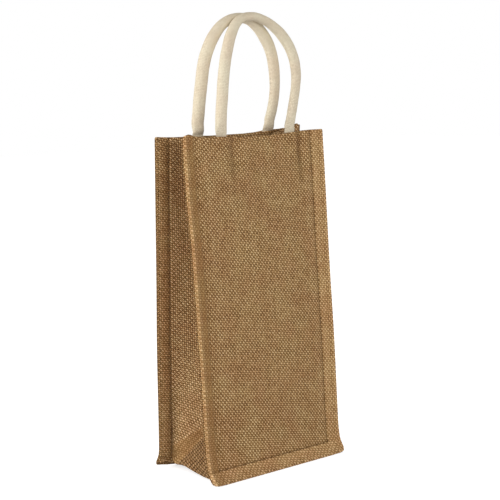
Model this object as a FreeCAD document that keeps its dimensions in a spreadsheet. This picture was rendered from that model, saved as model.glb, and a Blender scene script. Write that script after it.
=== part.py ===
"""Two-bottle jute carrier bag with padded canvas loop handles, in millimetres.

The origin is at the centre of the footprint, on the ground. +Z is up and the front panel faces -Y.
Every piece of the front is repeated behind by half a turn about Z.
"""
import FreeCAD, Part
import math
import os
import Sketcher
from FreeCAD import Placement, Rotation, Vector

DRIVING_SIZES = {
    # The bag's outside
    "bag_width": 185.0,
    "bag_height": 350.0,
    "foot_depth": 100.0,
    "base_depth": 84.0,
    "mouth_depth": 46.0,
    "foot_height": 13.0,
    # The base sags from its seams to the ground within this distance
    "sag_run": 9.0,
    "margin_width": 15.0,
    "cloth_thickness": 1.5,
    # Height of the pleat that the gusset makes above the base
    "pleat_height": 38.0,
    # Facing inside the mouth
    "facing_depth": 38.0,
    "facing_turning": 8.0,
    "facing_pocket": 3.0,
    "facing_clearance": 1.5,
    # Loop handles
    "handle_span": 92.0,
    "handle_offset": 4.0,
    "handle_rise": 114.5,
    "handle_diameter": 11.0,
    "handle_rest_gap": 0.6,
    "sleeve_wall": 1.2,
    "core_clearance": 0.15,
    # Flattened canvas at the foot of each leg, which bends just above the mouth
    "tab_width": 14.0,
    "tab_length": 28.0,
    "tab_clearance": 0.1,
    "bend_rise": 2.5,
    "bend_thickness": 1.6,
    "bend_clearance": 0.5,
    "neck_length": 15.0,
    # Stitching
    "stitch_length": 4.2,
    "stitch_pitch": 5.4,
    "thread_width": 0.9,
    "thread_height": 0.45,
    "frame_row_inset": 2.5,
    "hem_row_inset": 4.0,
    "sleeve_row_sink": 0.2,
}
# Each stitch's upper face, as a share of its lower face
STITCH_TAPER_SHARE = 0.6
# A soft handle sways to +X at rest: places on its centre line, from the left leg over the crown to the
# right leg, across as a share of half the span and up as a share of the rise
HANDLE_LINE_SHARES = [
    (-0.98, 0.30), (-0.90, 0.52), (-0.72, 0.75), (-0.38, 0.94), (0.06, 1.0),
    (0.52, 0.94), (0.92, 0.79), (1.14, 0.60), (1.15, 0.42), (1.06, 0.26),
]

doc = FreeCAD.newDocument("bottle_carrier")
sheet = doc.addObject("Spreadsheet::Sheet", "sizes")
for row, (alias, size) in enumerate(DRIVING_SIZES.items(), start=1):
    sheet.set(f"A{row}", alias)
    sheet.set(f"B{row}", str(size))
    sheet.setAlias(f"B{row}", alias)
doc.recompute()

sub_parts = []


def value(expression):
    """The number that an expression of the sheet's sizes gives now."""
    return float(sheet.evalExpression(expression))


# Places on the bag, as expressions of the driving sizes
HALF_WIDTH = "(sizes.bag_width / 2)"
HALF_INSIDE = f"({HALF_WIDTH} - sizes.margin_width)"
HALF_FOOT = "(sizes.foot_depth / 2)"
HALF_BASE = "(sizes.base_depth / 2)"
HALF_MOUTH = "(sizes.mouth_depth / 2)"
LEAN = f"(({HALF_BASE} - {HALF_MOUTH}) / (sizes.bag_height - sizes.foot_height))"
CLOTH = "sizes.cloth_thickness"


def panel_y(depth, height):
    """Y at a height, on the plane that lies a depth behind the front panel's outer face."""
    return f"(-{HALF_BASE} + ({depth}) + {LEAN} * (({height}) - sizes.foot_height))"


# The gusset's half width is fixed by the base, so the narrower mouth folds it inwards
GUSSET_HALF = f"({HALF_BASE} - {CLOTH})"
GUSSET_HALF_AT_MOUTH = f"({HALF_MOUTH} - {CLOTH})"
PLEAT_TOP = "(sizes.foot_height + sizes.pleat_height)"
GUSSET_HALF_AT_PLEAT = f"(-{panel_y(CLOTH, PLEAT_TOP)})"
FOLD_AT_MOUTH = f"sqrt({GUSSET_HALF} * {GUSSET_HALF} - {GUSSET_HALF_AT_MOUTH} * {GUSSET_HALF_AT_MOUTH})"
FOLD_AT_PLEAT = f"sqrt({GUSSET_HALF} * {GUSSET_HALF} - {GUSSET_HALF_AT_PLEAT} * {GUSSET_HALF_AT_PLEAT})"
# Cloth thickness measured along X, where the gusset slants
SLANT_AT_MOUTH = f"({CLOTH} * {GUSSET_HALF} / {GUSSET_HALF_AT_MOUTH})"
SLANT_AT_PLEAT = f"({CLOTH} * {GUSSET_HALF} / {GUSSET_HALF_AT_PLEAT})"

# The facing reaches sideways as far as the folded gusset lets it
FACING_STACK = f"(sizes.facing_pocket + {CLOTH})"
FACING_HALF = (
    f"({HALF_INSIDE} - {SLANT_AT_MOUTH} - sizes.facing_clearance"
    f" - ({FACING_STACK} + sizes.thread_height) * {FOLD_AT_MOUTH} / {GUSSET_HALF_AT_MOUTH})"
)

# The bend at the foot of the front handle's legs
BEND_HEIGHT = "(sizes.bag_height + sizes.bend_rise)"
POCKET_MIDDLE = f"({CLOTH} + sizes.facing_pocket / 2)"
BEND_Y = panel_y(POCKET_MIDDLE, BEND_HEIGHT)
HANDLE_RADIUS = "(sizes.handle_diameter / 2)"
HALF_SPAN = "(sizes.handle_span / 2)"
HANDLE_LEAN = (
    f"asin((-{BEND_Y} - {HANDLE_RADIUS} - sizes.handle_rest_gap / 2) / sizes.handle_rise)"
)
NECK_START = "(sizes.bend_thickness / 2 + sizes.bend_clearance)"


def origin_plane(body, role):
    """A body's own origin plane."""
    return next(plane for plane in body.Origin.OriginFeatures if plane.Role == role)


def new_sketch(body, name, role, offset="0"):
    """An empty sketch on an origin plane of the body, raised along the plane's normal."""
    sketch = body.newObject("Sketcher::SketchObject", name)
    sketch.AttachmentSupport = (origin_plane(body, role), "")
    sketch.MapMode = "FlatFace"
    sketch.setExpression("AttachmentOffset.Base.z", offset)
    return sketch


def bind(sketch, name, expression, kind, *where):
    """A named constraint whose size follows an expression."""
    index = sketch.addConstraint(Sketcher.Constraint(kind, *where, value(expression)))
    sketch.renameConstraint(index, name)
    sketch.setExpression(f"Constraints.{name}", expression)


def pin_point(sketch, name, geometry, end, place):
    """Fix a point of the sketch at a place given by two expressions."""
    bind(sketch, f"{name}_across", place[0], "DistanceX", -1, 1, geometry, end)
    bind(sketch, f"{name}_along", place[1], "DistanceY", -1, 1, geometry, end)


def outline(body, name, role, places, offset="0"):
    """A closed outline of straight sides through places given as pairs of expressions."""
    sketch = new_sketch(body, name, role, offset)
    corners = [Vector(value(across), value(along), 0) for across, along in places]
    for index, corner in enumerate(corners):
        following = corners[(index + 1) % len(corners)]
        sketch.addGeometry(Part.LineSegment(corner, following), False)
    for index in range(len(corners)):
        following = (index + 1) % len(corners)
        sketch.addConstraint(Sketcher.Constraint("Coincident", index, 2, following, 1))
    for index, place in enumerate(places):
        pin_point(sketch, f"corner{index}", index, 1, place)
    return sketch


def circles(body, name, role, centre, radii, offset="0"):
    """One or more circles about one centre."""
    sketch = new_sketch(body, name, role, offset)
    middle = Vector(value(centre[0]), value(centre[1]), 0)
    for index, radius in enumerate(radii):
        sketch.addGeometry(Part.Circle(middle, Vector(0, 0, 1), value(radius)), False)
        pin_point(sketch, f"centre{index}", index, 3, centre)
        bind(sketch, f"radius{index}", radius, "Radius", index)
    return sketch


def pad(body, name, sketch, length):
    """Extrude a sketch to both sides of its plane."""
    feature = body.newObject("PartDesign::Pad", name)
    feature.Profile = sketch
    feature.SideType = "Symmetric"
    feature.setExpression("Length", length)
    return feature


def pocket(body, name, sketch, length):
    """Cut a sketch's outline away to both sides of its plane."""
    feature = body.newObject("PartDesign::Pocket", name)
    feature.Profile = sketch
    feature.SideType = "Symmetric"
    feature.setExpression("Length", length)
    return feature


def new_body(label):
    """An empty body that becomes one sub-part."""
    body = doc.addObject("PartDesign::Body", label)
    body.Label = label
    sub_parts.append(body)
    return body


def new_feature(label, shape):
    """A sub-part whose shape is made directly."""
    feature = doc.addObject("Part::Feature", label)
    feature.Label = label
    feature.Shape = shape
    sub_parts.append(feature)
    return feature


SIDES = {"front": 0, "back": 180}


def place_side(piece, side, across="0"):
    """Put a piece modelled at the front on its own side, by a turn about Z."""
    turn = f"rotation({SIDES[side]}; 0; 0)"
    piece.setExpression("Placement", f"placement(vector({across}; 0; 0); {turn})")


def make_panel(side):
    """Flat jute panel whose lower margin splays outwards to a foot."""
    body = new_body(f"{side}_panel")
    places = [
        (f"-{HALF_FOOT}", "0"),
        (f"-{HALF_BASE}", "sizes.foot_height"),
        (f"-{HALF_MOUTH}", "sizes.bag_height"),
        (f"-{HALF_MOUTH} + {CLOTH}", "sizes.bag_height"),
        (f"-{HALF_BASE} + {CLOTH}", "sizes.foot_height"),
        (f"-{HALF_FOOT} + {CLOTH}", "0"),
    ]
    profile = outline(body, f"{side}_panel_profile", "YZ_Plane", places)
    pad(body, f"{side}_panel_cloth", profile, "sizes.bag_width")
    place_side(body, side)


def make_facing(side):
    """Jute band inside the mouth, its edges turned under and notched for the handle tabs."""
    body = new_body(f"{side}_facing")
    top = "sizes.bag_height"
    upper = f"({top} - sizes.facing_turning)"
    foot = f"({top} - sizes.facing_depth)"
    lower = f"({foot} + sizes.facing_turning)"
    pocket_back = f"{CLOTH} + sizes.facing_pocket"
    inner = f"{CLOTH} + {FACING_STACK}"

    def at(depth, height):
        return (panel_y(depth, height), height)

    profile = outline(body, f"{side}_facing_profile", "YZ_Plane", [
        at(CLOTH, top),
        at(inner, top),
        at(inner, foot),
        at(CLOTH, foot),
        at(CLOTH, lower),
        at(pocket_back, lower),
        at(pocket_back, upper),
        at(CLOTH, upper),
    ])
    pad(body, f"{side}_facing_cloth", profile, f"2 * {FACING_HALF}")
    turning = [at(CLOTH, top), at(pocket_back, top), at(pocket_back, upper), at(CLOTH, upper)]
    notch_width = "sizes.tab_width + 2 * sizes.tab_clearance"
    offset = "sizes.handle_offset" if side == "front" else "-sizes.handle_offset"
    for hand, sign in (("left", "-"), ("right", "")):
        place = f"{sign}{HALF_SPAN} + {offset}"
        notch = outline(body, f"{side}_{hand}_notch", "YZ_Plane", turning, place)
        pocket(body, f"{side}_{hand}_notch_cut", notch, notch_width)
    place_side(body, side)


def make_tab(side, hand):
    """Flattened end of a handle's sleeve, pinched thin where the handle bends above the mouth."""
    body = new_body(f"{side}_{hand}_tab")
    foot = "(sizes.bag_height - sizes.tab_length)"
    half = "(sizes.facing_pocket / 2 - sizes.tab_clearance)"
    pinch = "(sizes.bend_thickness / 2)"

    def at(depth, height):
        return (panel_y(f"{POCKET_MIDDLE} + {depth}", height), height)

    profile = outline(body, f"{side}_{hand}_tab_profile", "YZ_Plane", [
        at(f"-{half}", foot),
        at(f"-{half}", "sizes.bag_height"),
        (f"{BEND_Y} - {pinch}", BEND_HEIGHT),
        (f"{BEND_Y} + {pinch}", BEND_HEIGHT),
        at(half, "sizes.bag_height"),
        at(half, foot),
    ])
    pad(body, f"{side}_{hand}_tab_cloth", profile, "sizes.tab_width")
    bend = circles(body, f"{side}_{hand}_bend", "YZ_Plane", (BEND_Y, BEND_HEIGHT), [pinch])
    pad(body, f"{side}_{hand}_bend_round", bend, "sizes.tab_width")
    sign = "" if (side == "front") == (hand == "right") else "-"
    place_side(body, side, f"{sign}{HALF_SPAN} + sizes.handle_offset")


def handle_line(side):
    """Centre line of a handle in its own plane, from one neck over the crown to the other."""
    half, rise, neck = (value(size) for size in (HALF_SPAN, "sizes.handle_rise", "sizes.neck_length"))
    shares = HANDLE_LINE_SHARES
    if side == "back":
        shares = [(-across, up) for across, up in reversed(shares)]
    places = [Vector(across * half, 0, up * rise) for across, up in shares]
    places = [Vector(-half, 0, neck)] + places + [Vector(half, 0, neck)]
    line = Part.BSplineCurve()
    line.interpolate(places, InitialTangent=Vector(0, 0, 1), FinalTangent=Vector(0, 0, -1))
    return line.toShape()


def place_handle(piece, side):
    """Stand a handle on its bend, leaning inwards until it rests against the other one."""
    place_y = BEND_Y if side == "front" else f"-{BEND_Y}"
    turn = f"rotation({SIDES[side]}; 0; -{HANDLE_LEAN})"
    place = f"vector(sizes.handle_offset; {place_y}; {BEND_HEIGHT})"
    piece.setExpression("Placement", f"placement({place}; {turn})")


def sweep(line, radius):
    """A round bar along a line that starts straight up."""
    section = Part.Wire(Part.makeCircle(radius, line.valueAt(line.FirstParameter), Vector(0, 0, 1)))
    return Part.Wire(line).makePipeShell([section], True, False)


def make_neck(across):
    """Foot of a leg, which flattens from round towards the bend."""
    flat = Part.Ellipse(Vector(), value("sizes.tab_width / 2"), value("sizes.bend_thickness / 2")).toShape()
    flat.translate(Vector(across, 0, value(NECK_START)))
    rounded = Part.makeCircle(value(HANDLE_RADIUS), Vector(across, 0, value("sizes.neck_length")))
    return Part.makeLoft([Part.Wire(flat), Part.Wire(rounded)], True, True)


def make_sleeve(side):
    """Round canvas sleeve whose ends flatten towards the bend at the foot of each leg."""
    line, half = handle_line(side), value(HALF_SPAN)
    bore = sweep(line, value(f"{HANDLE_RADIUS} - sizes.sleeve_wall"))
    tube = sweep(line, value(HANDLE_RADIUS)).cut(bore)
    sleeve = tube.fuse([make_neck(-half), make_neck(half)]).removeSplitter()
    place_handle(new_feature(f"{side}_handle_sleeve", sleeve.Solids[0]), side)


def make_core(side):
    """Rope filling of a handle, a little shorter than the sleeve's bore."""
    line, gap = handle_line(side), value("sizes.core_clearance")
    first, last = (line.getParameterByLength(length) for length in (gap, line.Length - gap))
    rope = sweep(Part.Edge(line.Curve, first, last), value(f"{HANDLE_RADIUS} - sizes.sleeve_wall") - gap)
    place_handle(new_feature(f"{side}_handle_core", rope), side)


def prism(section, near, far):
    """A slab between two values of X, from a section of (y, z) places."""
    places = [Vector(near, y, z) for y, z in section]
    face = Part.Face(Part.makePolygon(places + places[:1]))
    return face.extrude(Vector(far - near, 0, 0))


def mirror_x(shape):
    return shape.mirror(Vector(), Vector(1, 0, 0))


def mirror_y(shape):
    return shape.mirror(Vector(), Vector(0, 1, 0))


def gusset_corners():
    """Corners of the left gusset's outer face, and how far its inner face lies behind each."""
    side = -value(HALF_INSIDE)
    base, top = value("sizes.foot_height"), value("sizes.bag_height")
    half_base, half_mouth = value(GUSSET_HALF), value(GUSSET_HALF_AT_MOUTH)
    outer = {
        "base_front": Vector(side, -half_base, base),
        "base_back": Vector(side, half_base, base),
        "pleat": Vector(side + value(FOLD_AT_PLEAT), 0, value(PLEAT_TOP)),
        "top_front": Vector(side, -half_mouth, top),
        "top_back": Vector(side, half_mouth, top),
        "top_fold": Vector(side + value(FOLD_AT_MOUTH), 0, top),
    }
    thickness = {name: value(SLANT_AT_MOUTH) for name in outer}
    thickness["base_front"] = thickness["base_back"] = value(CLOTH)
    thickness["pleat"] = value(SLANT_AT_PLEAT)
    return outer, thickness


def gusset_side():
    """Left gusset: two leaning halves that meet in an inward fold, over a pleat at the base."""
    outer, thickness = gusset_corners()
    inner = {name: corner + Vector(thickness[name], 0, 0) for name, corner in outer.items()}
    skin = [
        ("base_front", "base_back", "pleat"),
        ("base_front", "pleat", "top_fold"),
        ("base_front", "top_fold", "top_front"),
        ("base_back", "top_fold", "pleat"),
        ("base_back", "top_back", "top_fold"),
    ]
    rim = ["base_front", "top_front", "top_fold", "top_back", "base_back"]
    faces = [[corners[name] for name in names] for corners in (outer, inner) for names in skin]
    faces.append([outer[name] for name in rim[1:4]] + [inner[name] for name in reversed(rim[1:4])])
    for first, second in ((rim[0], rim[1]), (rim[3], rim[4]), (rim[4], rim[0])):
        faces.append([outer[first], outer[second], inner[second], inner[first]])
    shell = Part.makeShell([Part.Face(Part.makePolygon(face + face[:1])) for face in faces])
    solid = Part.Solid(shell)
    solid.fix(solid.getTolerance(0), 0, 1)
    return solid


def sagging_base():
    """The base: it slopes down from both seams, lies on the ground and closes against the gussets."""
    cloth, drop, run = value(CLOTH), value("sizes.foot_height"), value("sizes.sag_run")
    half, end = value(GUSSET_HALF), value(HALF_INSIDE)
    # Cloth thickness measured along Y, where the base slopes
    slant = cloth * math.hypot(run, drop) / drop
    lower_half = half - slant - run * (drop - cloth) / drop
    under = [(-half, drop), (run - half, 0), (half - run, 0), (half, drop)]
    upper = [(half - slant, drop), (lower_half, cloth), (-lower_half, cloth), (slant - half, drop)]
    end_wall = prism(under, -end, cloth - end)
    return [prism(under + upper, -end, end), end_wall, mirror_x(end_wall)]


def make_gusset_strip():
    """One strip of jute: two folded gussets and the base, with margins sewn to both panels."""
    cloth = value(CLOTH)
    half_width, half_inside = value(HALF_WIDTH), value(HALF_INSIDE)
    base, top = value("sizes.foot_height"), value("sizes.bag_height")
    half_foot, half_base, half_mouth = value(HALF_FOOT), value(HALF_BASE), value(HALF_MOUTH)

    def behind_panel(layers, half, height):
        return (-half + layers * cloth, height)

    foot = [behind_panel(1, half_foot, 0), behind_panel(1, half_base, base),
            behind_panel(2, half_base, base), behind_panel(2, half_foot, 0)]
    leg = [behind_panel(1, half_base, base), behind_panel(1, half_mouth, top),
           behind_panel(2, half_mouth, top), behind_panel(2, half_base, base)]
    foot_margin = prism(foot, -half_width, half_width)
    leg_margin = prism(leg, -half_width, -half_inside + cloth)
    side = gusset_side()
    pieces = sagging_base() + [side, mirror_x(side), foot_margin, mirror_y(foot_margin)]
    for margin in (leg_margin, mirror_y(leg_margin)):
        pieces += [margin, mirror_x(margin)]
    strip = pieces[0].fuse(pieces[1:]).removeSplitter()
    new_feature("gusset_strip", strip.Solids[0])


def stitch():
    """One stitch lying along X on the XY plane: a bar whose ends and sides slope."""
    length, width, height = (
        value(f"sizes.{name}") for name in ("stitch_length", "thread_width", "thread_height"))
    slope = (1 - STITCH_TAPER_SHARE) * width / 2
    return Part.makeWedge(-length / 2, 0, -width / 2, slope - width / 2, slope - length / 2,
                          length / 2, height, width / 2, width / 2 - slope, length / 2 - slope)


def lay_stitch(place, along, outwards):
    """A stitch at a place on the cloth, running along a direction."""
    along, outwards = along.normalize(), outwards.normalize()
    turn = Rotation(along, outwards, along.cross(outwards), "XYZ")
    bar = stitch()
    bar.Placement = Placement(place, turn)
    return bar


def stitch_row(first, last, outwards):
    """Evenly spaced stitches from one place to another on flat cloth."""
    run = last - first
    pitch = value("sizes.stitch_pitch")
    count = int((run.Length - value("sizes.stitch_length")) / pitch) + 1
    along = Vector(run).normalize()
    begin = first + along * ((run.Length - (count - 1) * pitch) / 2)
    places = [begin + along * (index * pitch) for index in range(count)]
    return [lay_stitch(place, Vector(run), Vector(outwards)) for place in places]


def on_panel(across, depth, height):
    """A place on a plane parallel to the front panel, above the base seam."""
    return Vector(across, value(panel_y(depth, f"{height}")), height)


def on_foot(across, depth, height):
    """A place on a plane parallel to the splayed lower margin."""
    splay = value(f"({HALF_FOOT} - {HALF_BASE}) / sizes.foot_height")
    y = -value(HALF_BASE) + value(depth) - splay * (value("sizes.foot_height") - height)
    return Vector(across, y, height)


def outward_normal(first, second, third, towards):
    """Normal of the plane through three places, on the side that faces a direction."""
    normal = (second - first).cross(third - first).normalize()
    return normal if normal.dot(towards) > 0 else -normal


def both_faces(rows_on, depth):
    """Rows on the panel's outer face, and the same rows on the last layer that the needle passed."""
    return rows_on("0", Vector(0, -1, 0)) + rows_on(depth, Vector(0, 1, 0))


def make_frame_stitching(side):
    """Seam that joins a panel to the strip: up both sides and along the base."""
    row_x = value(f"{HALF_INSIDE} + sizes.frame_row_inset")
    inset, stop = value("sizes.frame_row_inset"), value("sizes.stitch_length / 2")
    base, top = value("sizes.foot_height"), value("sizes.bag_height")

    def rows(depth, towards):
        bars = []
        for across in (-row_x, row_x):
            first, last = on_panel(across, depth, base + stop), on_panel(across, depth, top - stop)
            outwards = outward_normal(first, last, first + Vector(1, 0, 0), towards)
            bars += stitch_row(first, last, outwards)
        first, last = on_foot(-row_x, depth, base - inset), on_foot(row_x, depth, base - inset)
        outwards = outward_normal(first, last, on_foot(0, depth, 0), towards)
        return bars + stitch_row(first, last, outwards)

    label = f"{side}_frame_stitching"
    place_side(new_feature(label, Part.makeCompound(both_faces(rows, f"2 * {CLOTH}"))), side)


def make_hem_stitching(side):
    """Two rows that hold the facing and the handle tabs to a panel."""
    half = value(FACING_HALF)
    top = value("sizes.bag_height")
    heights = (top - value("sizes.hem_row_inset"),
               top - value("sizes.facing_depth - sizes.facing_turning / 2"))

    def rows(depth, towards):
        bars = []
        for height in heights:
            first, last = on_panel(-half, depth, height), on_panel(half, depth, height)
            outwards = outward_normal(first, last, on_panel(0, depth, top), towards)
            bars += stitch_row(first, last, outwards)
        return bars

    label = f"{side}_hem_stitching"
    place_side(new_feature(label, Part.makeCompound(both_faces(rows, f"{CLOTH} + {FACING_STACK}"))), side)


def make_gusset_hem_stitching(hand):
    """Row along the top edge of a gusset, on the outer face of both its halves."""
    outer = gusset_corners()[0]
    drop = value("sizes.hem_row_inset")
    bars = []
    for end in ("front", "back"):
        base, top, fold = outer[f"base_{end}"], outer[f"top_{end}"], outer["top_fold"]
        outwards = outward_normal(base, top, fold, Vector(-1, 0, 0))
        down = (base - top).normalize() * drop
        lead = (fold - top).normalize() * (value("sizes.margin_width") / 2)
        bars += stitch_row(top + lead + down, fold - lead / 2 + down, outwards)
    row = Part.makeCompound(bars)
    label = f"{hand}_gusset_hem_stitching"
    new_feature(label, row if hand == "left" else mirror_x(row))


def make_sleeve_stitching(side):
    """Seam along the inner side of a handle, sunk a little into the sleeve."""
    line, pitch = handle_line(side), value("sizes.stitch_pitch")
    inwards = value(f"{HANDLE_RADIUS} - sizes.sleeve_row_sink")
    count = int(line.Length / pitch)
    bars = []
    for index in range(count):
        parameter = line.getParameterByLength(line.Length * (2 * index + 1) / (2 * count))
        along = line.tangentAt(parameter)
        towards = Vector(0, 1, 0).cross(along)
        bars.append(lay_stitch(line.valueAt(parameter) + towards * inwards, along, towards))
    place_handle(new_feature(f"{side}_sleeve_stitching", Part.makeCompound(bars)), side)


make_gusset_strip()
for side_name in SIDES:
    make_panel(side_name)
    make_facing(side_name)
    for hand_name in ("left", "right"):
        make_tab(side_name, hand_name)
    make_sleeve(side_name)
    make_core(side_name)
    make_frame_stitching(side_name)
    make_hem_stitching(side_name)
    make_sleeve_stitching(side_name)
for hand_name in ("left", "right"):
    make_gusset_hem_stitching(hand_name)
doc.recompute()

for item in doc.Objects:
    if {"Invalid", "Error"} & set(item.State):
        raise RuntimeError(f"{item.Label} failed: {item.State}")
for piece in sub_parts:
    if piece.Shape.isNull() or not piece.Shape.isValid():
        raise RuntimeError(f"{piece.Label} has no valid shape")

os.makedirs("parts", exist_ok=True)
for piece in sub_parts:
    piece.Shape.exportStep(f"parts/{piece.Label}.step")
    print(f"{piece.Label}: {len(piece.Shape.Solids)} solids, {piece.Shape.Volume:.1f} mm3")
print(f"handles lean {value(HANDLE_LEAN):.2f} degrees")
print(f"front handle bends at y {value(BEND_Y):.4f}, z {value(BEND_HEIGHT):.4f}")
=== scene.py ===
# %% [markdown]
# # A jute carrier for two bottles
# The bag is sewn from coarse brown jute: two panels, one long strip that makes both side gussets and
# the base, and a band inside the mouth of each panel. Its seams stand outwards as flat margins, and two
# padded canvas loops are its handles. The CAD frame gives the sizes, the bodies and the hinges. It is
# loaded first.

# %% Load the frame
import math

import bpy
import numpy as np
from mathutils import Matrix, Vector


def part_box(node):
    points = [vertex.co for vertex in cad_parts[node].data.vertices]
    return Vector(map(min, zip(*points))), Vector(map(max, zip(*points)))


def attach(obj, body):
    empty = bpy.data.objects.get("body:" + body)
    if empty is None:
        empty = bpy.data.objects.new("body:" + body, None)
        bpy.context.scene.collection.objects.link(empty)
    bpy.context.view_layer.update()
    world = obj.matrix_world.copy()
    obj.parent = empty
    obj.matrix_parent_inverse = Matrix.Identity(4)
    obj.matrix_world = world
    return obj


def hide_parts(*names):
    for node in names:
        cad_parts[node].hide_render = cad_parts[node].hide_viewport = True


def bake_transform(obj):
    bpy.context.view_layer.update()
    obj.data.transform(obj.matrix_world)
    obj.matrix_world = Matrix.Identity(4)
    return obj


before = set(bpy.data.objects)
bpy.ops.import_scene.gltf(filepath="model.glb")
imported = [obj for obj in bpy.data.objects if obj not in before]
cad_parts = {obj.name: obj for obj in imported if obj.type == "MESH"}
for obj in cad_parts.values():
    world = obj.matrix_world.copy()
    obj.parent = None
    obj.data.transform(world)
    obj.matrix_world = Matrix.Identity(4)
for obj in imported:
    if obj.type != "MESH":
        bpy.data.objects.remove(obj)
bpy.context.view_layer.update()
scene = bpy.context.scene
scene.view_settings.view_transform = "Standard"
bpy.ops.object.select_all(action="DESELECT")

# %% [markdown]
# ## Camera
# The photograph looks at the bag's front left corner from a little above the table. Fitting the corners
# of the CAD bag to it gives where the camera stands, how long its lens is, and a small roll. A camera
# could also be aimed with a Track To constraint, but a roll is easier to give as a rotation matrix.

# %% Camera
MM = 0.001
VIEW_ROUND, VIEW_UP, VIEW_ROLL = (math.radians(angle) for angle in (-40.76, 7.02, -1.88))
VIEW_DISTANCE = 1437.3 * MM
VIEW_AIM = Vector((7.5, 0.0, 226.2)) * MM


def new_object(name, data):
    """A new object of the scene."""
    made = bpy.data.objects.new(name, data)
    scene.collection.objects.link(made)
    return made


camera = new_object("camera", bpy.data.cameras.new("camera"))
camera.data.sensor_width, camera.data.lens = 36.0, 98.3
scene.camera = camera
right = Vector((math.cos(VIEW_ROUND), math.sin(VIEW_ROUND), 0.0))
back = Vector((math.sin(VIEW_ROUND) * math.cos(VIEW_UP), -math.cos(VIEW_ROUND) * math.cos(VIEW_UP),
               math.sin(VIEW_UP)))
level = Matrix((right, back.cross(right), back)).transposed()
turned = (level @ Matrix.Rotation(VIEW_ROLL, 3, "Z")).to_4x4()
camera.matrix_world = Matrix.Translation(VIEW_AIM + VIEW_DISTANCE * back) @ turned
print("camera at", [round(value, 3) for value in camera.matrix_world.translation])

# %% [markdown]
# ## Where the cloth runs
# Each panel leans in towards the mouth, and its foot splays out to stand on. Every piece of cloth is
# placed by how far across and how high it is on a panel, and by how far it lifts off the panel's outer
# face, so that the panels, the strip behind them and the bands in the mouth all follow the same form.
# From here on lengths are in millimetres, and side is -1 for the front or left and 1 for the back or right.

# %% Form of a panel
panel_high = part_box("front_panel")[1]
HALF_WIDTH, TOP = panel_high[0] / MM, panel_high[2] / MM
MARGIN, FOOT = 15.0, 13.0
HALF_BASE, HALF_MOUTH = 42.0, 23.0
SPLAY, SPLAY_TOP, SPLAY_CURVE = 7.3, FOOT + 4.0, 1.7
LEAN = (HALF_BASE - HALF_MOUTH) / (TOP - FOOT)
SEAM = HALF_WIDTH - MARGIN
NEAR = 0.1
SIDES = ((-1, "front"), (1, "back"))


def step(value, start, end):
    """A soft step from 0 at the start to 1 at the end."""
    share = np.clip((value - start) / (end - start), 0.0, 1.0)
    return share * share * (3.0 - 2.0 * share)


def bell(distance, width):
    """1 at no distance, falling softly to 0."""
    return np.exp(-(distance / width) ** 2)


def panel_depth(height):
    """How far a panel's outer face is from the middle of the bag."""
    splayed = np.clip(1.0 - height / SPLAY_TOP, 0.0, None) ** SPLAY_CURVE
    return HALF_BASE - LEAN * (height - FOOT) + SPLAY * splayed


def on_panel(side, across, height, lean, lift):
    """A place on the front or back panel, leant inwards and lifted off its outer face."""
    slope = (panel_depth(height + NEAR) - panel_depth(height - NEAR)) / (2.0 * NEAR)
    stretch = np.sqrt(1.0 + slope ** 2)
    depth = panel_depth(height) - lean + lift / stretch
    return np.stack([across + 0.0 * depth, side * depth, height - lift * slope / stretch], axis=-1)


print(f"panel {2 * HALF_WIDTH:.0f} mm wide, {TOP:.0f} mm high, leaning in {LEAN * 100:.1f} mm in 100")

# %% [markdown]
# The empty bag has settled a little out of true. Its mouth dips between the handles, its left edge wavers,
# its right seam has crept inwards, and the front's left and the back's right corner stand up. The bottom
# corners are worn round. A cloth simulation could slump the bag too, but not in the way the photograph
# shows. So these small moves are made on the flat cloth, where neighbouring pieces share them.

# %% Settled cloth
CORNER, PULL = 6.0, 4.5
PULL_STEPS = ([50.0, 60.0, SEAM, HALF_WIDTH], [0.0, 0.4, 1.0, 0.0])
DIP = {-1: ([-82.0, -66.0, -53.0, -37.0, -18.0, 28.0, 43.0, 56.0, 64.0, 79.0],
            [0.0, 2.4, 2.2, 2.7, 3.6, 3.5, 2.2, 1.2, 1.0, 0.0]),
       1: ([-90.0, -56.0, -20.0, 22.0, 55.0, 67.0, 82.0, 88.0], [-0.6, 1.1, 2.5, 2.6, 1.3, 1.8, 0.9, 0.0])}
LEFT_DRIFT = ([0.0, 12.0, 30.0, 70.0, 100.0, 150.0, 240.0, 285.0, 330.0, 350.0],
              [2.2, 0.2, -1.4, -1.4, -0.6, -0.7, -0.6, -2.4, -2.6, -1.6])
CREEP, PEAK, TILT, SINK = {-1: -1.0, 1: 0.6}, 1.5, 0.8, 0.2
RIGHT, LEFT = (0.0, HALF_WIDTH), (0.0, -HALF_WIDTH)
UPPER, LOWER, NEAR_TOP = (175.0, 350.0), (150.0, 10.0), (250.0, 350.0)
# Each move has its amount, and the places across and up the cloth between which it sets in.
DRIFT = {-1: [(2.2, RIGHT, UPPER), (-2.5, RIGHT, LOWER), (2.2, (70.0, 92.0), (32.0, 0.0))],
         1: [(-0.9, LEFT, UPPER), (2.0, LEFT, LOWER), (6.5, (64.0, 88.0), NEAR_TOP)]}
RISE = {-1: [], 1: [(2.2, (35.0, 75.0), NEAR_TOP), (2.4, (80.0, 87.0), NEAR_TOP),
                    (-1.4, (-30.0, -70.0), NEAR_TOP), (2.8, (-55.0, -90.0), (60.0, 5.0))]}
INWARDS = {-1: [], 1: [(5.0, (60.0, 85.0), (200.0, 350.0)), (-3.0, (-55.0, -90.0), (22.0, 0.0))]}


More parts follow.
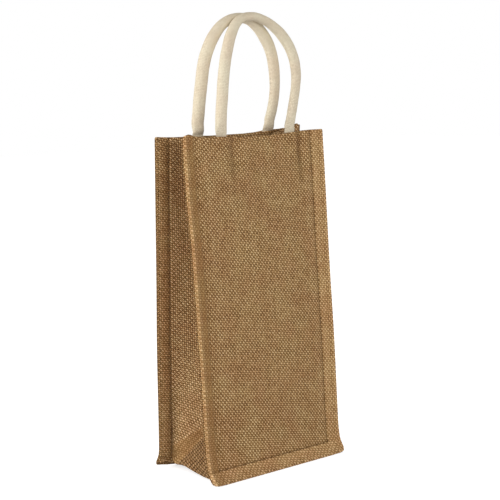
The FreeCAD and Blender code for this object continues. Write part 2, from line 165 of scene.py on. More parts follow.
def round_corners(across, height):
    """Bring the grid's square bottom corners round."""
    beside = np.clip((np.abs(across) - HALF_WIDTH + CORNER) / CORNER, 0.0, 1.0)
    below = np.clip((CORNER - height) / CORNER, 0.0, 1.0)
    corner = (beside > 0.0) & (below > 0.0)
    reach = HALF_WIDTH - CORNER + CORNER * beside * np.sqrt(1.0 - below ** 2 / 2.0)
    round_height = CORNER - CORNER * below * np.sqrt(1.0 - beside ** 2 / 2.0)
    return np.where(corner, np.sign(across) * reach, across), np.where(corner, round_height, height)


def pulled(across):
    """A place on the cloth, with the right-hand seam crept inwards and its margin widened."""
    return across - PULL * np.interp(across, *PULL_STEPS)


def settle(side, across, height):
    """Where a place on a flat panel is on the settled bag: across it, up it and leaning inwards."""
    drift, rise, lean = (sum(amount * step(across, *wide) * step(height, *high)
                             for amount, wide, high in moves[side]) for moves in (DRIFT, RISE, INWARDS))
    drift = drift + CREEP[side] * np.clip((np.abs(across) - SEAM) / MARGIN, 0.0, 1.0)
    dip = np.interp(across, *DIP[side])
    if side < 0:
        drift = drift + step(across, -30.0, -70.0) * np.interp(height, *LEFT_DRIFT) + pulled(across) - across
        dip = dip + SINK + TILT * across / HALF_WIDTH - PEAK * bell(across + 85.0, 5.0)
    return across + drift, height + rise - dip * step(height, *NEAR_TOP), lean


print("bottom corners rounded to", CORNER, "mm, right seam pulled in", PULL, "mm")

# %% [markdown]
# ## Sewing a sheet
# A sheet starts as one or more grids of points. Each grid carries its flat cloth coordinates as a UV map
# in metres, so the weave runs along the threads round every fold. Grids that share an edge are merged,
# and a Solidify modifier gives the cloth its thickness on both sides of the grid.

# %% Sheets from grids
MERGE, SHARP = 0.01 * MM, math.radians(50.0)


def edit(piece):
    """Enter edit mode on one piece, with all of it selected."""
    bpy.ops.object.select_all(action="DESELECT")
    bpy.context.view_layer.objects.active = piece
    piece.select_set(True)
    bpy.ops.object.mode_set(mode="EDIT")
    bpy.ops.mesh.select_all(action="SELECT")


def face_out():
    """Turn the selected faces outwards and leave edit mode."""
    bpy.ops.mesh.normals_make_consistent(inside=False)
    bpy.ops.object.mode_set(mode="OBJECT")


def grid_faces(rows, columns):
    """The corners of each face of a grid, whose points are numbered row by row."""
    corners = np.arange(rows * columns).reshape(rows, columns)
    return np.stack([corners[:-1, :-1], corners[:-1, 1:], corners[1:, 1:], corners[1:, :-1]], axis=-1)


def sew_cloth(name, grids, thickness):
    """One sheet of cloth from grids of (points, flat places, kept faces)."""
    points, faces, flat = [], [], []
    for grid, cloth, kept in grids:
        quads = grid_faces(*grid.shape[:2])
        quads = quads.reshape(-1, 4) if kept is None else quads[kept]
        faces.append(quads + sum(len(part) for part in points))
        points.append(grid.reshape(-1, 3) * MM)
        flat.append(cloth.reshape(-1, 2)[quads.ravel()] * MM)
    mesh = bpy.data.meshes.new(name)
    mesh.from_pydata(np.concatenate(points).tolist(), [], np.concatenate(faces).tolist())
    mesh.uv_layers.new(name="cloth").data.foreach_set("uv", np.concatenate(flat).ravel())
    sheet = new_object(name, mesh)
    edit(sheet)
    bpy.ops.mesh.remove_doubles(threshold=MERGE)
    bpy.ops.mesh.delete_loose()
    face_out()
    wall = sheet.modifiers.new("thickness", "SOLIDIFY")
    wall.thickness, wall.offset = thickness * MM, 0.0
    bpy.ops.object.modifier_apply(modifier=wall.name)
    bpy.ops.object.shade_smooth_by_angle(angle=SHARP)
    print(f"{name}: {len(sheet.data.polygons)} faces")
    return sheet


print("sheets merge points closer than", MERGE / MM, "mm")

# %% [markdown]
# Jute frays, so no cut edge is left showing: each edge is turned under and sewn down. On the model, the
# border of a grid is carried round a half circle and back inside, as a hem is. The same helper turns the
# sides and foot of a panel, the margins of the strip and the top of the mouth.

# %% Turned edges
HEM_ANGLES, HEM_SHARES = np.radians((30, 60, 90, 120, 150, 180)), (0.3, 0.65, 1.0)
SIDE_HEM, TOP_HEM, GUSSET_HEM = (0.7, 5.0), (0.62, 7.0), (0.7, 7.0)


def unit(vectors):
    return vectors / np.linalg.norm(vectors, axis=-1, keepdims=True)


def turn_edge(edge, inner, edge_flat, inner_flat, under, radius, width):
    """The hem along an edge: round a half circle towards under, then back inside the cloth."""
    out, out_flat = unit(edge - inner), unit(edge_flat - inner_flat)
    loops, flats = [edge], [edge_flat]
    for angle in HEM_ANGLES:
        loops.append(edge + radius * (out * np.sin(angle) + under * (1.0 - np.cos(angle))))
        flats.append(edge_flat + out_flat * radius * angle)
    for share in HEM_SHARES:
        loops.append(edge + 2.0 * radius * under - out * width * share)
        flats.append(edge_flat + out_flat * (radius * math.pi + width * share))
    return np.stack(loops), np.stack(flats), None


def side_border(grid):
    """A grid's left side, foot and right side in one line, and the points just inside them."""
    edge = np.concatenate([grid[::-1, 0], grid[0, 1:-1], grid[:, -1]])
    inner = np.concatenate([grid[:0:-1, 1], grid[1:2, 1], grid[1, 1:-1], grid[1:2, -2], grid[1:, -2]])
    return edge, inner


def turn_border(grid, flat, under, radius, width):
    """Turn under a grid's sides and foot."""
    return turn_edge(*side_border(grid), *side_border(flat), side_border(under)[0], radius, width)


def turn_top(grid, flat, under, radius, width):
    """Turn under a grid's top row."""
    return turn_edge(grid[-1], grid[-2], flat[-1], flat[-2], under[-1], radius, width)


print("edges turn under in", len(HEM_ANGLES), "steps")

# %% [markdown]
# ## Front and back panel
# On the real panels the margin is a soft double welt: it swells at its turned edge, sinks into the row of
# stitches and rises again before the flat of the cloth. The sewn-in handle ends press two shallow bulges
# into the top, each with a trough beside it. A grid with close columns at the margins can carry all of this.

# %% Relief of the panels
half_columns = np.concatenate([np.arange(0.0, 71.0, 2.5), [
    72.5, 74.5, 76.2, SEAM, 78.1, 78.5, 78.9, 79.3, 79.9, 81.0, 83.0, 85.2, 87.0, 88.6, 90.0, 91.4]])
COLUMNS = np.concatenate([-half_columns[:0:-1], half_columns])
ROWS = np.concatenate([
    [1.4, 2.5, 3.8, 5.4, 7.2, 9.0, 10.6, 11.6, 12.2, 12.6, FOOT, 13.4, 13.8, 14.4, 16.2, 18.4],
    np.linspace(21.0, 346.0, 126), [347.6, 349.2]])
HANDLE_FEET = {-1: (-43.0, 50.0), 1: (-42.0, 53.0)}
EDGE_STEPS = [0.0, 1.0, 2.0, 3.2, 4.8, 6.5, 10.0, 12.2, 13.0, 13.6, 14.2, 15.5, 19.0, 25.0, 36.0, 60.0]
PANEL_LIFT = [-0.4, 0.4, 0.85, 0.6, -0.2, -0.6, -0.55, -0.5, -0.9, -1.6, -1.1, -0.6, -0.1, 0.25, 0.15, -0.2]
TROUGH = ([3.0, 6.0, 9.0, 12.0, 15.0, 19.0, 25.0], [0.0, 0.5, 1.9, 3.2, 3.5, 2.4, 0.0])
FLARE, FOOT_STRETCH, EDGE_BLEND = 0.13, 0.985, 1.2
RIPPLE, BULGE, BULGE_WIDTH, TROUGH_EASE = 0.5, 0.8, 8.0, 0.3


def edge_distance(across, height):
    """How far a place is from the panel's border, with the foot's narrower margin stretched to match."""
    beside, below = HALF_WIDTH - np.abs(across), height * FOOT_STRETCH
    return -EDGE_BLEND * np.log(np.exp(-beside / EDGE_BLEND) + np.exp(-below / EDGE_BLEND))


def flared(across):
    """The side margins stand forwards a little from the seam."""
    return FLARE * np.clip(np.abs(across) - SEAM, 0.0, None)


def trough(side, across, height):
    """How deep the cloth falls in beside the right edge of each sewn-in handle end."""
    beside = sum(np.interp(across - foot, *TROUGH) for foot in HANDLE_FEET[side])
    return beside * step(height, 288.0, 332.0) * (1.0 - TROUGH_EASE * step(height, 334.0, 346.0))


def panel_place(side, across, height, lift=0.0):
    """A place on the middle of a panel's cloth, with its relief."""
    edge = edge_distance(across, height)
    ripple = np.sin(across / 21.0 + 2.0 * side) * np.sin(height / 38.0 + side)
    ripple = ripple + 0.6 * np.sin(across / 33.0 - height / 52.0 + 3.0 * side)
    relief = np.interp(edge, EDGE_STEPS, PANEL_LIFT) + step(edge, 14.0, 30.0) * RIPPLE * ripple
    for foot in HANDLE_FEET[side]:
        relief = relief + BULGE * bell(across - foot, BULGE_WIDTH) * step(height, 310.0, 334.0)
    relief = relief - trough(side, across, height) + flared(across)
    return on_panel(side, *settle(side, *round_corners(across, height)), relief + lift)


print(len(COLUMNS), "columns and", len(ROWS), "rows on a panel")

# %% [markdown]
# Both panels are the same cut, sewn the other way round. The flat coordinates run left to right as seen from
# outside, and follow the crept seam, so that the threads keep their pitch up to it.

# %% Panels
CLOTH = 1.1


def make_panel(side, name):
    across, height = np.meshgrid(COLUMNS, ROWS)
    grid, flat = panel_place(side, across, height), np.stack([pulled(-side * across), height], axis=-1)
    under = unit(panel_place(side, across, height, -1.0) - grid)
    return sew_cloth(name, [(grid, flat, None), turn_border(grid, flat, under, *SIDE_HEM),
                            turn_top(grid, flat, under, *TOP_HEM)], CLOTH)


panels = {side: make_panel(side, f"{word}_panel_cloth") for side, word in SIDES}

# %% [markdown]
# ## Gussets and base
# One strip of jute runs down the left side, under the base and up the right side. Its edges lie behind the
# panels' margins. Because the mouth is pinched, the sides fold inwards in a deep V, which closes at the
# base in two slanting folds, and the empty base sags to the ground. The strip takes over the panels' rows
# and columns, so the grids of its margins, sides and base meet point for point.

# %% Margins of the strip
STRIP_FOOT, LEFT_FOOT = 0.76, {-1: 0.09, 1: -0.2}
STRIP_STEPS = [0.0, 1.3, 2.4, 4.0, 6.5, 9.0, 11.0, 12.5, 13.5, 15.0]
STRIP_LIFT = [-3.2, -3.5, -3.75, -3.65, -3.3, -2.9, -2.5, -2.15, -2.15, -2.25]
TINY = 0.01


def strip_place(side, across, height, lift=0.0):
    """A place on the middle of the strip's margin, behind a panel's margin."""
    behind = np.interp(edge_distance(across, height), STRIP_STEPS, STRIP_LIFT)
    return on_panel(side, *settle(side, *round_corners(across, height)), behind + flared(across) + lift)


def make_margin(side):
    """The whole grid behind a panel, and the sheets of it that are kept: margins and their hem."""
    across, height = np.meshgrid(COLUMNS, ROWS)
    kept_share = STRIP_FOOT + LEFT_FOOT[side] * step(across, -66.0, -86.0)
    height = np.where(height < FOOT, FOOT - kept_share * (FOOT - height), height)
    grid, flat = strip_place(side, across, height), np.stack([across, height], axis=-1)
    under = unit(strip_place(side, across, height, 1.0) - grid)
    beside, below = np.abs(across) > SEAM - TINY, height < FOOT + TINY
    one_side = across[1:, 1:] * across[1:, :-1] > 0
    kept = (beside[1:, 1:] & beside[1:, :-1] & one_side) | (below[1:, 1:] & below[:-1, 1:])
    return grid, [(grid, flat, kept), turn_border(grid, flat, under, *SIDE_HEM)]


front_margin, front_margin_grids = make_margin(-1)
back_margin, back_margin_grids = make_margin(1)
print("the strip's margins lie up to", -min(STRIP_LIFT), "mm behind the panels' faces")

# %% [markdown]
# The depth of the fold follows from the cloth: each half of a gusset keeps its width while the panels lean
# together, so by Pythagoras the crease moves inwards as the mouth narrows. Near the base the V is limited
# by a slanting facet. A soft minimum of the two avoids a sharp crease, and a pleat between two slanting
# folds takes up the cloth that is left over.

# %% Folded gussets
WIDE = np.linspace(-1.0, 1.0, 57)
HALF_GUSSET = 40.3
CREASE_ROUND, CREASE_SPAN = 0.06, 0.9418
FACET_IN, FACET_SLOPE, FACET_LOW, FACET_BLEND = 0.4, 0.34, 10.0, 3.0
PLEAT_LOW, PLEAT_HIGH = (0.72, 0.69, 27.2), (0.55, 0.834, 41.1)
PLEAT_IN, PLEAT_OUT, BILLOW = 4.4, 2.0, 1.1
LEFT_DROP = ([-1.0, -0.96, -0.90, -0.82, -0.72, -0.3, 0.0, 0.28, 0.45, 0.63, 0.80, 0.92, 0.97, 1.0],
             [0.0, 6.0, 11.0, 12.1, 12.1, 11.4, 10.0, 8.4, 7.2, 7.4, 8.4, 8.0, 5.0, 0.0])
FLOOR_DROP = ([-1.0, -0.96, -0.90, -0.82, -0.74, 0.0, 0.74, 0.82, 0.90, 0.96, 1.0],
              [0.0, 2.6, 7.0, 10.6, 11.7, 11.7, 11.7, 10.6, 7.0, 2.6, 0.0])
SAG_TOP, SAG_CURVE, MOUTH_DIP = 64.0, 1.5, 4.0


def soft_least(first, second, blend):
    """The lesser of two surfaces, with a soft crease between them."""
    share = np.clip(0.5 + 0.5 * (second - first) / blend, 0.0, 1.0)
    return second * (1.0 - share) + first * share - blend * share * (1.0 - share)


def fold_depth(side, wide, depth, height):
    """How far the gusset lies inside the line between its two seams."""
    crease = np.sqrt(np.clip(HALF_GUSSET ** 2 - depth ** 2, 0.0, None))
    folded = crease * (1.0 - (np.sqrt(wide ** 2 + CREASE_ROUND ** 2) - CREASE_ROUND) / CREASE_SPAN)
    facet = FACET_IN + FACET_SLOPE * np.clip(height - FACET_LOW, 0.0, None)
    across = -side * depth * wide
    lower = PLEAT_LOW[0] * across + PLEAT_LOW[1] * height - PLEAT_LOW[2]
    upper = np.minimum(PLEAT_HIGH[0] * across + PLEAT_HIGH[1] * height - PLEAT_HIGH[2], lower - 2.0)
    band = np.clip(lower / (lower - upper), 0.0, 1.0)
    sloping = PLEAT_IN - (PLEAT_IN + PLEAT_OUT) * band
    pleat = np.where(upper > 0.0, -PLEAT_OUT * np.exp(-np.abs(upper) / 5.0), sloping)
    pleat = np.where(lower < 0.0, PLEAT_IN * np.exp(-np.abs(lower) / 9.0), pleat)
    inwards = soft_least(folded, facet, FACET_BLEND) + pleat * step(height, 100.0, 60.0)
    inwards = inwards + BILLOW * np.sin(math.pi * np.abs(wide)) * np.sin(height / 47.0 + 2.0 * side + wide)
    return inwards * step(np.abs(wide), 1.0, 0.92)


def span(front, rear):
    """Rows of points straight across from the front seam to the rear seam."""
    share = (WIDE[None, :, None] + 1.0) / 2.0
    return front[:, None] * (1.0 - share) + rear[:, None] * share


def make_gusset(side):
    """The grid of one side, from the base seam to the mouth."""
    column = int(np.argmin(np.abs(COLUMNS - side * SEAM)))
    rows = ROWS > FOOT - TINY
    front, rear = front_margin[rows, column], back_margin[rows, column]
    grid = span(front, rear)
    rise = (ROWS[rows] - FOOT)[:, None]
    sag = np.clip(1.0 - rise / SAG_TOP, 0.0, 1.0) ** SAG_CURVE
    drop = np.interp(WIDE, *(LEFT_DROP if side < 0 else FLOOR_DROP)) * sag
    grid[..., 2] -= drop + MOUTH_DIP * (1.0 - np.abs(WIDE)) * step(rise, 250.0, 337.0)
    depth = (rear - front)[:, 1:2] / 2.0
    grid[..., 0] -= side * fold_depth(side, WIDE[None, :], depth, grid[..., 2]) * step(rise, 0.0, 7.0)
    flat = np.stack([side * HALF_GUSSET * WIDE + 0.0 * drop, FOOT + rise + 0.0 * drop], axis=-1)
    return grid, flat


left_gusset, right_gusset = make_gusset(-1), make_gusset(1)
creases = [round(float(grid[-1, len(WIDE) // 2, 0]), 1) for grid, flat in (left_gusset, right_gusset)]
print("creases at the mouth, left and right:", creases)

# %% [markdown]
# The base joins both sides. It hangs from the two foot seams, and under the left gusset it is drawn up as
# the photograph shows. The tops of the gussets get a hem, and then all the grids are sewn into one strip.

# %% Base and the whole strip
BASE_START, LEFT_END = 400.0, -25.0


def make_base():
    columns = np.abs(COLUMNS) < SEAM + TINY
    row = int(np.argmin(np.abs(ROWS - FOOT)))
    grid = span(front_margin[row, columns], back_margin[row, columns])
    across = COLUMNS[columns][:, None]
    left = step(across, LEFT_END, -SEAM)
    grid[..., 2] -= np.interp(WIDE, *FLOOR_DROP) * (1.0 - left) + np.interp(WIDE, *LEFT_DROP) * left
    flat = np.stack([HALF_GUSSET * WIDE + 0.0 * across, BASE_START + across + 0.0 * WIDE], axis=-1)
    return grid, flat, None


def into_bag(side, row, up):
    """The way into the bag, square to a gusset along one of its rows."""
    inside = unit(np.cross(np.gradient(row, axis=0), up))
    return inside * np.sign(-side * inside[:, :1])


def hem_gusset(side, gusset):
    """The gusset's top edge, turned towards the inside of the bag."""
    grid, flat = gusset
    inside = into_bag(side, grid[-1], grid[-1] - grid[-2])
    return turn_edge(grid[-1], grid[-2], flat[-1], flat[-2], inside, *GUSSET_HEM)


gusset_cloth = sew_cloth("gusset_cloth", front_margin_grids + back_margin_grids + [
    (*left_gusset, None), (*right_gusset, None), make_base(),
    hem_gusset(-1, left_gusset), hem_gusset(1, right_gusset)], CLOTH)

# %% [markdown]
# ## Bands in the mouth
# Inside each panel's top edge a band of the same jute covers the sewn ends of the handle. All its edges are
# turned towards the panel. Over the handle ends its top has less of a turn, which leaves them their gap.

# %% Facings
FACING_HALF, FACING_LOW, FACING_TOP, FACING_LIFT = 65.0, 313.0, 349.0, -5.25
FACING_CLOTH, FACING_HEM, FACING_TURN, TURN_LESS = 1.0, (0.8, 6.0), 1.0, 0.72
FACING_SUNK, FACING_SUNK_WIDTH = 0.35, 9.0


def facing_place(side, across, height, lift=0.0):
    """A place on the middle of a band."""
    sunk = sum(FACING_SUNK * bell(across - foot, FACING_SUNK_WIDTH) for foot in HANDLE_FEET[side])
    sunk = sunk + trough(side, across, height)
    return on_panel(side, *settle(side, across, height), FACING_LIFT - sunk + lift)


def make_facing(side, name):
    across, height = np.meshgrid(np.linspace(-FACING_HALF, FACING_HALF, 75),
                                 np.linspace(FACING_LOW, FACING_TOP, 17))
    grid, flat = facing_place(side, across, height), np.stack([across, height], axis=-1)
    under = unit(facing_place(side, across, height, 1.0) - grid)
    gap = sum(step(np.abs(across[0] - foot), 11.0, 8.0) for foot in HANDLE_FEET[side])
    turn = (FACING_TURN - TURN_LESS * gap)[:, None]
    return sew_cloth(name, [(grid, flat, None), turn_border(grid, flat, under, *FACING_HEM),
                            turn_top(grid, flat, under, turn, FACING_HEM[1])], FACING_CLOTH)


facings = {side: make_facing(side, f"{word}_facing_cloth") for side, word in SIDES}

# %% [markdown]
# ## Loop handles
# Each handle is a sleeve of cream canvas round a soft rope. Its ends are pressed flat and sewn in behind the
# panel, and the loop sways to one side under its own stiffness. A smooth Bezier curve through given
# points gives its line, and a chain of straight runs would show corners.

# %% Lines of the handles
HINGE_DEPTH, HINGE_HEIGHT, LINE_STEP = 19.859, 352.5, 1.5
HANDLE_POINTS = {
    -1: [(-43.0, -20.9, 324), (-43.0, -19.7, 345), (-42.4, -19.5, 353), (-40.6, -17.4, 361),
         (-40.0, -17.5, 371), (-38.2, -18.0, 387), (-35.7, -17.1, 403), (-31.6, -15.7, 419),
         (-25.9, -13.7, 435), (-17.6, -11.7, 452), (-5.0, -10.0, 465), (10.0, -9.5, 468.5),
         (26.0, -9.9, 465.5), (40.8, -10.9, 457.6), (53.9, -12.4, 445.4), (61.8, -14.0, 432),
         (65.1, -16.3, 413.5), (63.2, -17.7, 396.5), (59.4, -17.9, 380), (54.9, -17.4, 361),
         (51.5, -19.5, 353), (50.2, -19.7, 345), (50.0, -20.9, 324)],
    1: [(-42.0, 20.9, 324), (-42.0, 19.7, 345), (-41.0, 19.5, 353), (-40.6, 20.2, 361),
        (-40.9, 17.9, 371), (-41.8, 13.6, 387.5), (-41.2, 10.7, 404), (-39.5, 8.5, 420),
        (-34.9, 6.6, 436), (-25.7, 4.6, 452), (-13.6, 3.2, 463), (2.0, 2.7, 467.8),
        (17.0, 2.8, 466.0), (29.8, 3.7, 459), (41.5, 5.1, 448), (49.5, 6.5, 437),
        (55.4, 8.2, 422), (59.3, 10.8, 404), (60.7, 13.6, 388), (60.1, 17.6, 371),
        (58.6, 20.2, 361), (55.9, 19.5, 353), (53.3, 19.7, 345), (53.0, 20.9, 324)]}


def lengths_along(points):
    """How far along a line each of its points is."""
    return np.concatenate([[0.0], np.cumsum(np.linalg.norm(np.diff(points, axis=0), axis=1))])


def handle_line(side):
    """Evenly spaced points along a handle's middle, read from a smooth curve, and how far along they are."""
    curve = bpy.data.curves.new("handle line", "CURVE")
    curve.dimensions, curve.resolution_u = "3D", 24
    spline = curve.splines.new("BEZIER")
    spline.bezier_points.add(len(HANDLE_POINTS[side]) - 1)
    for knot, place in zip(spline.bezier_points, HANDLE_POINTS[side]):
        knot.co, knot.handle_left_type, knot.handle_right_type = place, "AUTO", "AUTO"
    holder = new_object("handle line", curve)
    bpy.context.view_layer.update()
    mesh = bpy.data.meshes.new_from_object(holder.evaluated_get(bpy.context.evaluated_depsgraph_get()))
    points = np.array([vertex.co for vertex in mesh.vertices])
    bpy.data.objects.remove(holder)
    bpy.data.meshes.remove(mesh)
    length = lengths_along(points)
    steps = np.linspace(0.0, length[-1], int(length[-1] / LINE_STEP))
    return np.stack([np.interp(steps, length, points[:, axis]) for axis in range(3)], axis=-1), steps


handle_lines = {side: handle_line(side) for side in (-1, 1)}
print("handle lengths in mm:", [round(float(steps[-1])) for line, steps in handle_lines.values()])

# %% [markdown]
# An oval is carried along the line. It lies flat in the mouth, swells on its inner side where the rope starts,
# and turns on edge towards the crown. A curve's own bevel could make the tube, but not one that changes its
# section from a flat strip to a round, so its rings are worked out one by one.

# %% Sleeve round the line
RISE_STEPS = [-4.0, -1.0, 1.0, 3.0, 5.0, 7.0, 9.0, 45.0, 70.0, 95.0, 108.0, 120.0]
HALF_WIDE = [7.0, 6.95, 6.9, 6.75, 6.6, 6.5, 6.45, 6.45, 6.5, 6.5, 6.4, 6.3]
HALF_THICK = [0.85, 1.1, 1.7, 2.7, 3.9, 4.8, 5.3, 5.45, 6.0, 6.2, 5.3, 4.6]
SWELL = ([-2.8, -1.5, 0.0, 1.5, 3.0, 5.0, 8.0], [0.0, 1.6, 2.7, 2.8, 2.4, 1.4, 0.0])
TURN_STEPS, TURN = [0.0, 20.0, 60.0, 102.0], np.radians([0.0, 40.0, 40.0, 90.0])
SLIMMER, GATHER, WAVES = {-1: 0.09, 1: 0.0}, 0.08, 0.07


def handle_frames(side):
    """The line, the way along it, its oval's two axes, its inner side and its height above the hinge."""
    line, steps = handle_lines[side]
    along = unit(np.gradient(line, axis=0))
    inner = unit(np.cross([0.0, 1.0, 0.0], along))
    rise = line[:, 2] - HINGE_HEIGHT
    turn = np.interp(rise, TURN_STEPS, TURN)[:, None]
    wide = np.cos(turn) * inner + np.sin(turn) * np.cross(inner, along)
    return line, steps, wide, np.cross(along, wide), inner, rise


def oval(side, rise):
    """Half the width and half the thickness of a sleeve. The front loop is a little slimmer."""
    slim = 1.0 - SLIMMER[side] * step(rise, 0.0, 9.0)
    return slim * np.interp(rise, RISE_STEPS, HALF_WIDE), slim * np.interp(rise, RISE_STEPS, HALF_THICK)


def tube(name, line, axes, halves, angles, flat):
    """A closed tube along a line: its oval's axes and half sizes, its angles, and its unrolled cloth."""
    out = (halves[0] * np.cos(angles))[..., None] * axes[0][:, None]
    out = out + (halves[1] * np.sin(angles))[..., None] * axes[1][:, None]
    rings = (line[:, None] + out)[:, :-1]
    count, around = rings.shape[:2]
    corners = np.arange(count * around).reshape(count, around)
    after = np.roll(corners, -1, axis=1)
    quads = np.stack([corners[:-1], after[:-1], after[1:], corners[1:]], axis=-1).reshape(-1, 4).tolist()
    mesh = bpy.data.meshes.new(name)
    caps = [corners[0, ::-1].tolist(), corners[-1].tolist()]
    mesh.from_pydata((rings.reshape(-1, 3) * MM).tolist(), [], quads + caps)
    places = flat.reshape(-1, 2)[grid_faces(count, around + 1).ravel()] * MM
    caps_flat = np.zeros((2 * around, 2))
    mesh.uv_layers.new(name="cloth").data.foreach_set("uv", np.concatenate([places, caps_flat]).ravel())
    piece = new_object(name, mesh)
    edit(piece)
    face_out()
    bpy.ops.object.shade_smooth_by_angle(angle=SHARP)
    print(f"{name}: {len(mesh.polygons)} faces")
    return piece


def make_handle(side, name):
    line, steps, wide, narrow, inner, rise = handle_frames(side)
    angles = np.linspace(0.0, 2.0 * math.pi, 33)
    half_wide, half_thick = oval(side, rise)
    folds = bell(rise - 13.0, 9.0)[:, None] * GATHER * np.cos(6.0 * angles + steps[:, None] / 19.0)
    waves = np.sin(steps[:, None] / 6.5 + 2.0 * np.cos(angles)) * step(rise, 8.0, 18.0)[:, None]
    folds = folds + WAVES * waves
    swell = np.interp(rise, *SWELL)[:, None] * (side * np.sin(angles) < 0.0)
    halves = half_wide[:, None] + folds, half_thick[:, None] + swell + folds
    girth = np.pi * (half_wide + half_thick)
    flat = np.stack([girth[:, None] * angles / (2.0 * math.pi), steps[:, None] + 0.0 * angles], axis=-1)
    return tube(name, line, (wide, narrow), halves, angles, flat)


handles = {side: make_handle(side, f"{word}_handle_canvas") for side, word in SIDES}

# %% [markdown]
# The rope inside the sleeve doesn't show, but it is a part of its own. Three lobes that wind round as they
# go along give the look of a laid rope, and it ends where the sleeve is pressed flat.

# %% Ropes in the handles
ROPE_START, ROPE_RADIUS, ROPE_TAPER, LOBES, LOBE_DEPTH, LAY = 16.0, 3.2, 4.0, 3.0, 0.1, 3.5


def make_rope(side, name):
    frames = handle_frames(side)
    full = frames[-1] > ROPE_START
    line, steps, wide, narrow = (part[full] for part in frames[:4])
    angles = np.linspace(0.0, 2.0 * math.pi, 19)
    ends = np.minimum(steps - steps[0], steps[-1] - steps)
    taper = (ROPE_RADIUS * np.sqrt(np.clip(ends / ROPE_TAPER, 0.02, 1.0)))[:, None]
    radius = taper * (1.0 + LOBE_DEPTH * np.cos(LOBES * angles - steps[:, None] / LAY))
    flat = np.stack([ROPE_RADIUS * angles + 0.0 * steps[:, None], steps[:, None] + 0.0 * angles], axis=-1)
    return tube(name, line, (wide, narrow), (radius, radius), angles, flat)


ropes = {side: make_rope(side, f"{word}_handle_rope") for side, word in SIDES}

# %% [markdown]
# ## Stitches
# The seams are lockstitch in thread of the cloth's own colour. One stitch is modelled on its own: a small circle,
# extruded and scaled in steps, so that its ends taper and dive into the cloth.

# %% One stitch
STITCH_STEPS = [(0.7, 0.55, 1.55), (0.9, 0.3, 1.25), (1.0, 0.0, 1.0), (0.9, -0.3, 0.8), (0.7, -0.55, 0.645)]
STITCH_END, STITCH_START = 0.26 * MM, (-0.6 * MM, 0.0, -2.1 * MM)
bpy.ops.object.select_all(action="DESELECT")
bpy.ops.mesh.primitive_circle_add(vertices=6, radius=STITCH_END, fill_type="NGON", location=STITCH_START)
stitch = bpy.context.object
edit(stitch)
for onwards, rise, scale in STITCH_STEPS:
    bpy.ops.mesh.extrude_region_move(TRANSFORM_OT_translate={"value": (rise * MM, 0.0, onwards * MM)})
    bpy.ops.transform.resize(value=(scale, scale, 1.0))
bpy.ops.mesh.select_all(action="SELECT")
face_out()
bpy.ops.object.transform_apply(location=True, rotation=True, scale=True)
STITCH_POINTS = np.array([vertex.co for vertex in stitch.data.vertices])[:, [2, 1, 0]] * (1.0, -1.0, 1.0)
STITCH_FACES = [list(face.vertices) for face in stitch.data.polygons]
bpy.data.objects.remove(stitch)
print("one stitch:", len(STITCH_FACES), "faces,", np.round(np.ptp(STITCH_POINTS, axis=0) / MM, 2), "mm")

# %% [markdown]
# The stitch is copied along each row, lying along the row and standing on the cloth. An Array modifier with a
# curve could do this too, but it wouldn't turn each stitch to the cloth under it.

# %% Rows of stitches
PITCH, HALF_STITCH = 5.4, 1.5


def sew_rows(name, rows):
    """Stitches along rows of (line of points, line a millimetre above it)."""
    points, faces = [], []
    for line, above in rows:
        length = lengths_along(line)
        for place in np.arange(PITCH / 2.0, length[-1] - PITCH / 4.0, PITCH):
            here, before, after, over = (
                np.array([np.interp(at, length, part[:, axis]) for axis in range(3)]) for at, part in (
                    (place, line), (place - HALF_STITCH, line), (place + HALF_STITCH, line), (place, above)))
            along = unit(after - before)
            across = unit(np.cross(unit(over - here), along))
            axes = np.stack([along, across, np.cross(along, across)])
            first = len(points) * len(STITCH_POINTS)
            faces.extend([[first + index for index in face] for face in STITCH_FACES])
            points.append(here * MM + STITCH_POINTS @ axes)
    mesh = bpy.data.meshes.new(name)
    mesh.from_pydata(np.concatenate(points).tolist(), [], faces)
    mesh.polygons.foreach_set("use_smooth", [True] * len(mesh.polygons))
    print(f"{name}: {len(points)} stitches")
    return new_object(name, mesh)


def row_on(place, side, across, height, lift):
    """A row at a lift from a sheet's middle, and the line just above it."""
    return place(side, across, height, lift), place(side, across, height, lift + np.sign(lift))


print("a stitch every", PITCH, "mm")

# %% [markdown]
# The frame rows run down one margin, along the foot and up the other, and show on both faces of the margin.
# Two hem rows hold each band in the mouth, and one row closes the top of each gusset. The real thread is
# pulled into the jute, so the rows are sunk a little.

# %% Seams of the bag
ROW_IN, ROW_UP, ROW_END, SUNK = 78.9, 13.7, 3.0, 0.30
ROW_LOW, ROW_TOP, HEM_ROWS = 15.0, 345.0, (346.0, 316.0)
frame_across = np.concatenate([np.full(200, -ROW_IN), np.linspace(-ROW_IN + ROW_END, ROW_IN - ROW_END, 90),
                               np.full(200, ROW_IN)])
frame_height = np.concatenate([np.linspace(ROW_TOP, ROW_LOW, 200), np.full(90, ROW_UP),
                               np.linspace(ROW_LOW, ROW_TOP, 200)])
hem_across = np.linspace(-FACING_HALF + ROW_END, FACING_HALF - ROW_END, 90)
threads = {}
for side, word in SIDES:
    threads[f"{word}_frame"] = sew_rows(f"{word}_frame_thread", [
        row_on(place, side, frame_across, frame_height, lift)
        for place, lift in ((panel_place, SUNK), (strip_place, -SUNK))])
    threads[f"{word}_hem"] = sew_rows(f"{word}_hem_thread", [
        row_on(place, side, hem_across, np.full(90, height), lift)
        for height in HEM_ROWS for place, lift in ((panel_place, SUNK), (facing_place, -SUNK))])
for side, word, (grid, flat) in ((-1, "left", left_gusset), (1, "right", right_gusset)):
    row = grid[-3]
    inside = into_bag(side, row, grid[-1] - row)
    threads[f"{word}_gusset"] = sew_rows(f"{word}_gusset_thread", [
        (row + SUNK * way, row + (SUNK + 1.0) * way) for way in (-inside, inside)])

